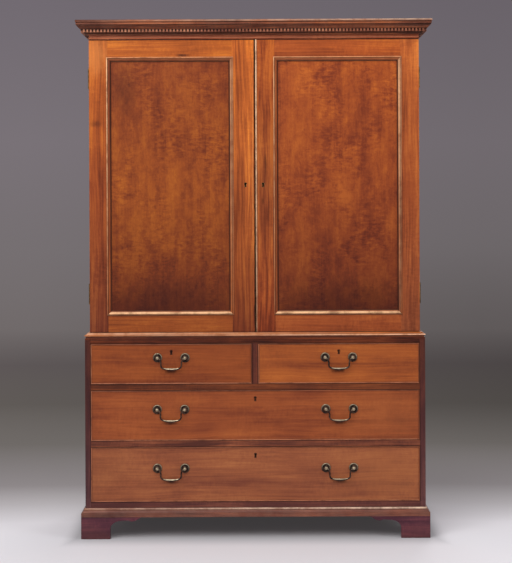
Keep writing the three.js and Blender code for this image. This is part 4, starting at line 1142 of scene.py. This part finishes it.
# %% Door mouldings
DOOR_SECTION = [
    (0, -9), (12.5, -9), (12.5, 0), (17, 0), *arc((14.9, 0.9), 2.1, 0, 180, 12)[1:], (12.5, 0.1), (11.6, -1.2),
    (10.6, 0.1), *ogee((9.6, 0.1), (1.6, -6), 12)[1:], (0.6, -6.2), (0, -8),
]
SIGHT_OUT = 12 * MM


def bead_wear_highlight(co, word, place, lift):
    """Paler near the top, and paler on what faces the light on the left than on what turns from it: a painted
    highlight over some wear. Along the bottom the slope, which faces the light above, is palest.
    """
    proud, lift = (CUPBOARD_Y - co.y) / MM, max(0, lift)
    bead, slope = proud > 1.0, -4.4 < proud < 0.6
    if place == "bottom":
        return 0.95 if slope else 0.1
    if place == "top":
        return 0.95 if bead else 0.2 if slope else 0.1
    if place == "left":
        return 0.1 + (0.75 if word == "left" else 0.45) * lift ** 3 if bead else 0.0
    bare = 0.7 if word == "right" else 0.4
    return bare * (0.1 + 0.9 * lift ** 1.5) if slope else 0.05 + 0.25 * lift if bead else 0.0


def bead_grime_shade(co, place):
    """Painted shade, with some dirt, where the moulding meets the panel, and on the bead along the bottom, which
    turns away from the light above.
    """
    proud = (CUPBOARD_Y - co.y) / MM
    if place == "bottom":
        return 0.8 if proud < -5.9 else 0.75 if proud > -0.5 else 0.0
    return 0.85 if proud < -4.9 else 0.0


for side, word in SIDES:
    low, high, outer, inner = door_box(side, word)
    x0, x1 = sorted((outer - side * (HINGE_STILE + SIGHT_OUT), inner + side * (MEETING_STILE[word] + SIGHT_OUT)))
    z0, z1 = low.z + BOTTOM_RAIL + SIGHT_OUT, high.z - TOP_RAIL - SIGHT_OUT
    for place, grain, length in framed(DOOR_SECTION, x0, x1, CUPBOARD_Y, z0, z1):
        kind = "moulding" if place == "top" else "bare_highlit_moulding"
        finish_piece(f"door_{word}_moulding_{place}", length, f"door_{word}", wood(kind, grain),
                     worn=lambda co: bead_wear_highlight(co, word, place, (co.z - z0) / (z1 - z0)),
                     soil_shade=lambda co: bead_grime_shade(co, place))
MEETING_BEAD, BEAD_LIGHT_FADE = 3 * MM, 1.08
low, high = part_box("door_right_frame")
edge = low.x
nose = [(edge + MEETING_BEAD * (1 + u), CUPBOARD_Y - v * MEETING_BEAD) for u, v in arc((0, 0), 1, 180, 0, 12)]
outline = [(edge, CUPBOARD_Y + MM), *nose, (edge + 2 * MEETING_BEAD, CUPBOARD_Y + MM)]
bead = extruded([(x, y, low.z) for x, y in outline], (0, 0, high.z - low.z))
# Its face is paler towards the top, a painted highlight over some wear, and its edge at the gap is dark, a painted
# shadow.
finish_piece(
    "meeting_bead", bead, "door_right", wood("meeting_bead", "z"),
    worn=lambda co: 0.25 + 0.75 * ((co.z - DOOR_SPAN[0]) / BEAD_LIGHT_FADE) ** 2 if co.y < CUPBOARD_Y - MM else 0.1,
    soil_shade=lambda co: 0.95 if co.x < edge + (1.2 if co.z > 1.4 else 2.4) * MM else 0.0)
print("door mouldings mitred")

# %% [markdown]
# ## Drawer edges
#
# A cock bead is a thin strip glued round the edge of a drawer front to guard its veneer. Four mitred lengths
# with a rounded nose stand proud of each front.

# %% Cock beads
# The left and bottom lengths are paler than the top and right: a painted highlight where the beads face the light,
# over some wear.
COCKBEAD_WEAR_HIGHLIGHT = {"left": 0.6, "bottom": 0.75, "top": 0.3, "right": 0.15}
COCKBEAD_SECTION = [(0.12, -3), (-3.62, -3), (-3.62, 0.7), *arc((-1.75, 0.75), 1.87, 180, 0, 8), (0.12, 0.7)]
for drawer in DRAWERS:
    low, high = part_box(f"drawer_{drawer}_front")
    for place, grain, length in framed(COCKBEAD_SECTION, low.x, high.x, CHEST_Y, low.z, high.z):
        finish_piece(f"cockbead_{drawer}_{place}", length, f"drawer_{drawer}", wood("cockbead", grain),
                     worn=lambda co: COCKBEAD_WEAR_HIGHLIGHT[place] if co.y < CHEST_Y - 1.2 * MM else 0.0)
print("cock beads on", len(DRAWERS), "drawers")

# %% [markdown]
# ## Pulls
#
# A swan-neck pull has two posts that pass through the drawer front, each in a round dished rose, and a bail
# that swings between their heads. Everything round is a profile spun about the post. The bail is a wire that
# swells into a grip, so it starts as a curve with a radius at each point and is kept as a mesh.

# %% Turned parts
POST_REACH = 50.8 * MM
PIVOT_OUT = 15 * MM
NUT_IN, NUT_RADIUS, NUT_THICK, NUT_SIDES = 22 * MM, 6 * MM, 3.4 * MM, 6
ROSE_RIM, POST_HEAD = 13.5, 16 * MM
ROSE_PROFILE = [
    (0, 0.3), (16.2, 0.3), (17, 0.8), (17, 1.8), *arc((15.6, 1.9), 1.3, 0, 150, 6), (13.6, 1.9), (12.6, 1.1),
    (9.5, 0.7), (7.6, 0.9), (7, 2.2), (6.2, 2.6), (0, 2.6),
]
POST_PROFILE = [
    (0, -24), (3, -24), (3, 2.4), (5.6, 2.4), (5.8, 3.2), (4.4, 4.4), (3.7, 6.2), (3.8, 7.6),
    (4.9, 8.9), *arc((0, 15), 6.2, -68, 90, 12),
]


def turned(profile, x, z):
    """A profile of (radius, out) points in mm, spun about an axis that points out of the drawer face."""
    bm = bmesh.new()
    ring = [bm.verts.new((x + radius * MM, CHEST_Y - out * MM, z)) for radius, out in profile]
    edges = [bm.edges.new(pair) for pair in zip(ring, ring[1:])]
    bmesh.ops.spin(bm, geom=[*ring, *edges], cent=(x, CHEST_Y, z), axis=(0, 1, 0), dvec=(0, 0, 0),
                   angle=2 * math.pi, steps=32, use_merge=True, use_duplicate=False)
    bmesh.ops.remove_doubles(bm, verts=bm.verts, dist=SAME_POINT)
    return bm


def rose_wear_highlight(co, x, z):
    """The rim is pale above, a painted highlight where it faces the light, over a little wear, and brown below."""
    reach = math.hypot(co.x - x, co.z - z) / MM
    return 0.3 + 0.5 * (co.z - z) / MM / reach if reach > ROSE_RIM else 0.0


def post_wear(co):
    return 0.7 if CHEST_Y - co.y > POST_HEAD else 0.15


print("turned parts ready")

# %% Bails
BAIL_RADIUS = 2.9 * MM
GRIP_DROP, GRIP_RISE, GRIP_RUN, GRIP_HALF = 42, 1.6, 20, 27
BAIL_HALF = [
    (50.8, 0, 0.9), (46.6, -2.6, 1.0), (42, -7.4, 1.0), (38.8, -13, 1.0), (37.6, -19, 1.0), (37.8, -25, 1.0),
    (37.2, -30.6, 1.0), (34, -35.4, 1.05), (28.4, -38.4, 1.1), (20, -40.4, 1.2), (10, -41.6, 1.55), (0, -42, 1.7),
]


def bail_mesh(x, z):
    """The bail at rest, as a mesh tube from a smooth curve."""
    wire = bpy.data.curves.new("wire", "CURVE")
    wire.dimensions = "3D"
    wire.bevel_depth = BAIL_RADIUS
    wire.bevel_resolution = 4
    wire.resolution_u = 6
    wire.use_fill_caps = True
    points = [(-u, v, r) for u, v, r in BAIL_HALF] + BAIL_HALF[-2::-1]
    spline = wire.splines.new("BEZIER")
    spline.bezier_points.add(len(points) - 1)
    for knot, (u, v, thickness) in zip(spline.bezier_points, points):
        knot.co = (x + u * MM, CHEST_Y - PIVOT_OUT, z + v * MM)
        knot.radius = thickness
        knot.handle_left_type = knot.handle_right_type = "AUTO"
    holder = linked("wire", wire)
    tube = bpy.data.meshes.new_from_object(holder.evaluated_get(bpy.context.evaluated_depsgraph_get()))
    bm = bmesh.new()
    bm.from_mesh(tube)
    bmesh.ops.remove_doubles(bm, verts=bm.verts, dist=SAME_POINT)
    bpy.data.meshes.remove(tube)
    bpy.data.objects.remove(holder)
    bpy.data.curves.remove(wire)
    return bm


def bail_wear_highlight(co, x, z):
    """The top of the grip is bright and the ends are pale at their tops: painted highlights where they face the
    light above, over wear.
    """
    along = abs(co.x - x) / MM
    middle = z - (GRIP_DROP - GRIP_RISE * (along / GRIP_RUN) ** 2) * MM
    grip = co.z > middle + 0.8 * MM and along < GRIP_HALF
    return 0.9 if grip else 0.35 if co.z > z - 4 * MM else 0.0


def pull(label, drawer, x, z):
    """Both posts, each with its rose and its nut, and the swinging bail."""
    for letter, side in (("a", -1), ("b", 1)):
        post_x, post = x + side * POST_REACH, f"post_{label}_{letter}"
        metal(f"rose_{label}_{letter}", turned(ROSE_PROFILE, post_x, z), drawer, pull_brass,
              worn=lambda co: rose_wear_highlight(co, post_x, z), replaces=(post,))
        metal(f"turned_{post}", turned(POST_PROFILE, post_x, z), drawer, pull_brass,
              worn=post_wear, replaces=(post,))
        nut = rod((post_x, CHEST_Y + NUT_IN, z), NUT_RADIUS, NUT_THICK, "y", NUT_SIDES)
        metal(f"nut_{label}_{letter}", nut, drawer, arris=BOX_ARRIS)
    metal(f"swan_neck_{label}", bail_mesh(x, z), f"bail_{label}", pull_brass,
          worn=lambda co: bail_wear_highlight(co, x, z), replaces=(f"bail_{label}",))


BAILS = [name for name in sorted(nodes) if name.startswith("bail_")]
for name in BAILS:
    label = name.removeprefix("bail_")
    low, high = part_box(name)
    post_low, post_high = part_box(f"post_{label}_a")
    drawer = label if label.startswith("short") else label.split("_")[0]
    pull(label, f"drawer_{drawer}", (low.x + high.x) / 2, (post_low.z + post_high.z) / 2)
print("pulls", BAILS)

# %% [markdown]
# ## Hinges, locks and keyholes
#
# Each door swings on two butt hinges. A hinge is two leaves with five knuckles round one pin: the outer and
# middle knuckles belong to the case's leaf and the other two to the door's, so the halves are separate pieces
# on separate bodies. Threads line the keyholes, brass on the doors. The locks are let into the wood, so only
# their plates show when a door or drawer is open.

# %% Hinges
KNUCKLES = 5
KNUCKLE_GAP = 0.15 * MM
PIN_RADIUS, PIN_TIP = 1.6 * MM, 1.8 * MM
SCREW_LIFTS = (-28 * MM, 0, 28 * MM)
SCREW_RADIUS, SCREW_RISE, SLOT_OUT = 3 * MM, 0.6 * MM, 0.4 * MM
SCREW_SLOT = Vector((8, 0.5, 0.7)) * MM
CASE_LEAF_Y = (DOOR_BACK_Y + 1 * MM, DOOR_BACK_Y + 1 * MM + LEAF)
DOOR_LEAF_Y = (DOOR_BACK_Y - LEAF, DOOR_BACK_Y + 0.1 * MM)


def screw(x, y, z, out):
    """A countersunk screw head with a slot, facing along Y."""
    head = rod((x, y, z), SCREW_RADIUS, SCREW_RISE, "y", 16)
    slot_low = Vector((x, y + out * SLOT_OUT, z)) - SCREW_SLOT / 2
    return carved(head, block(slot_low, slot_low + SCREW_SLOT))


def hinge_half(x, middle, owners, leaf_y):
    """One leaf with its own knuckles."""
    leaf_x = sorted((math.copysign(UPPER_HALF - LEAF_WIDTH, x), x))
    foot = middle - HINGE_LENGTH / 2
    bm = block((leaf_x[0], leaf_y[0], foot), (leaf_x[1], leaf_y[1], middle + HINGE_LENGTH / 2))
    pitch = HINGE_LENGTH / KNUCKLES
    for i in owners:
        merged(bm, rod((x, hinge_axis[1], foot + pitch * (i + 0.5)), BARREL, pitch - KNUCKLE_GAP))
    return bm


for side, word in SIDES:
    x, screw_x = side * hinge_axis[0], side * (UPPER_HALF - LEAF_WIDTH / 2)
    for node in (f"hinge_{word}_bottom", f"hinge_{word}_top"):
        middle = hinge_middle(node)
        pin = rod((x, hinge_axis[1], middle), PIN_RADIUS, HINGE_LENGTH + 2 * PIN_TIP)
        metal(f"{node}_case_leaf", merged(hinge_half(x, middle, (0, 2, 4), CASE_LEAF_Y), pin), "carcase",
              arris=FINE_ARRIS, replaces=(node,))
        metal(f"{node}_door_leaf", hinge_half(x, middle, (1, 3), DOOR_LEAF_Y), f"door_{word}", arris=FINE_ARRIS)
        for i, lift in enumerate(SCREW_LIFTS):
            metal(f"{node}_door_screw_{i + 1}", screw(screw_x, DOOR_LEAF_Y[1], middle + lift, 1), f"door_{word}")
            metal(f"{node}_case_screw_{i + 1}", screw(screw_x, CASE_LEAF_Y[0], middle + lift, -1), "carcase")
print("hinges hung")

# %% Keyhole threads and locks
THREAD_WALL, THREAD_DEPTH, THREAD_PROUD = 1.3 * MM, 5 * MM, 0.25 * MM
DOOR_LOCK = Vector((34, 0, 64)) * MM
LOCK_DEEP, CASE_SET, CASE_COVER, PLATE_PROUD = 10 * MM, 3 * MM, 1.1 * MM, 0.5 * MM
DRAWER_LOCK = Vector((62, 9, 42)) * MM
DRAWER_CASE, CASE_FOOT = Vector((20, 8, 23)) * MM, 15 * MM
DRAWER_KEY_DROP, LOCK_DROP = 27.5 * MM, 8 * MM
FRONT_THICKNESS = 20 * MM


def keyhole_thread(x, z, y):
    """A thin metal wall that lines a keyhole."""
    bm = extruded(keyhole_outline(x, z, y - THREAD_PROUD, THREAD_WALL), (0, THREAD_DEPTH, 0))
    return carved(bm, extruded(keyhole_outline(x, z, y - 2 * MM, -0.1 * MM), (0, THREAD_DEPTH + 4 * MM, 0)))


def lock_plate(name, body, low, high):
    metal(name, block(low, high), body, lock_brass, arris=FINE_ARRIS)


for side, word in SIDES:
    door = f"door_{word}"
    key_x = door_box(side, word)[3] + side * KEY_INSET[word]
    metal(f"{door}_keyhole_thread", keyhole_thread(key_x, KEY_Z, CUPBOARD_Y), door, thread_brass)
    x0, z0 = key_x - DOOR_LOCK.x / 2, KEY_Z - DOOR_LOCK.z / 2
    x1, z1 = key_x + DOOR_LOCK.x / 2, KEY_Z + DOOR_LOCK.z / 2
    lock_plate(f"{door}_lock_plate", door, (x0, DOOR_BACK_Y - MM, z0), (x1, DOOR_BACK_Y + PLATE_PROUD, z1))
    # An iron case behind the keyhole, near black, a painted shade seen through the hole.
    case = block((x0 + CASE_SET, DOOR_BACK_Y - LOCK_DEEP, z0 + CASE_SET),
                 (x1 - CASE_SET, DOOR_BACK_Y - CASE_COVER, z1 - CASE_SET))
    metal(f"{door}_lock_case", case, door, shadow_iron)
for name in DRAWERS:
    drawer = f"drawer_{name}"
    low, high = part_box(f"{drawer}_front")
    middle, back, key_z = (low.x + high.x) / 2, CHEST_Y + FRONT_THICKNESS, high.z - DRAWER_KEY_DROP
    # The thread and the case of a drawer keyhole are near-black iron, a painted shade inside the hole.
    metal(f"{drawer}_keyhole_thread", keyhole_thread(middle, key_z, CHEST_Y), drawer, shadow_iron)
    case_low = Vector((middle - DRAWER_CASE.x / 2, CHEST_Y + THREAD_DEPTH, key_z - CASE_FOOT))
    metal(f"{drawer}_lock_case", block(case_low, case_low + DRAWER_CASE), drawer, shadow_iron)
    x0, x1 = middle - DRAWER_LOCK.x / 2, middle + DRAWER_LOCK.x / 2
    lock_plate(f"{drawer}_lock", drawer, (x0, back - MM, high.z - LOCK_DROP - DRAWER_LOCK.z),
               (x1, back + DRAWER_LOCK.y, high.z - LOCK_DROP))
    lock_plate(f"{drawer}_lock_edge", drawer, (x0, back - 7 * MM, high.z - MM),
               (x1, back - 0.5 * MM, high.z + 0.1 * MM))
print("locks let in")

# %% [markdown]
# ## Backs
#
# Nobody saw the back of a press, so it is made of plain softwood boards, nailed on. Each carcase back of the
# frame is replaced by boards of slightly different widths.

# %% Back boards
BACK_GAP, BACK_ARRIS = 0.5 * MM, 1.2 * MM
UPPER_SHARES = (0.16, 0.19, 0.155, 0.17, 0.185, 0.14)
LOWER_SHARES = (0.36, 0.31, 0.33)
NAIL, NAIL_PROUD, NAIL_IN = 2.4 * MM, 0.5 * MM, 16 * MM


def back_boards(node, shares, axis, grain):
    """Boards side by side in the space of one CAD back. axis is the way that they are laid."""
    low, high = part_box(node)
    edge, other = low[axis], 2 - axis
    for i, share in enumerate(shares):
        board_low, board_high = low.copy(), high.copy()
        board_low[axis] = edge + BACK_GAP
        edge += share * (high[axis] - low[axis])
        board_high[axis] = edge - BACK_GAP
        board_high.y = high.y - NAIL_PROUD
        finish_piece(f"{node}_{i + 1}", block(board_low, board_high), "carcase", wood("deal", grain),
                     "lining_wood", arris=BACK_ARRIS, replaces=(node,))
        for end in (board_low[other] + NAIL_IN, board_high[other] - NAIL_IN):
            for share_across in (0.2, 0.8):
                spot = [0, high.y - NAIL_PROUD, 0]
                spot[other] = end
                spot[axis] = board_low[axis] + share_across * (board_high[axis] - board_low[axis])
                nails.append(rod(spot, NAIL, 2 * NAIL_PROUD, "y", 8))


nails = []
back_boards("upper_back_board", UPPER_SHARES, 0, "z")
back_boards("base_back_board", LOWER_SHARES, 2, "x")
heads = nails[0]
for nail in nails[1:]:
    merged(heads, nail)
metal("back_nails", heads, "carcase", shadow_iron)
print("backs boarded,", len(made_pieces), "new pieces")
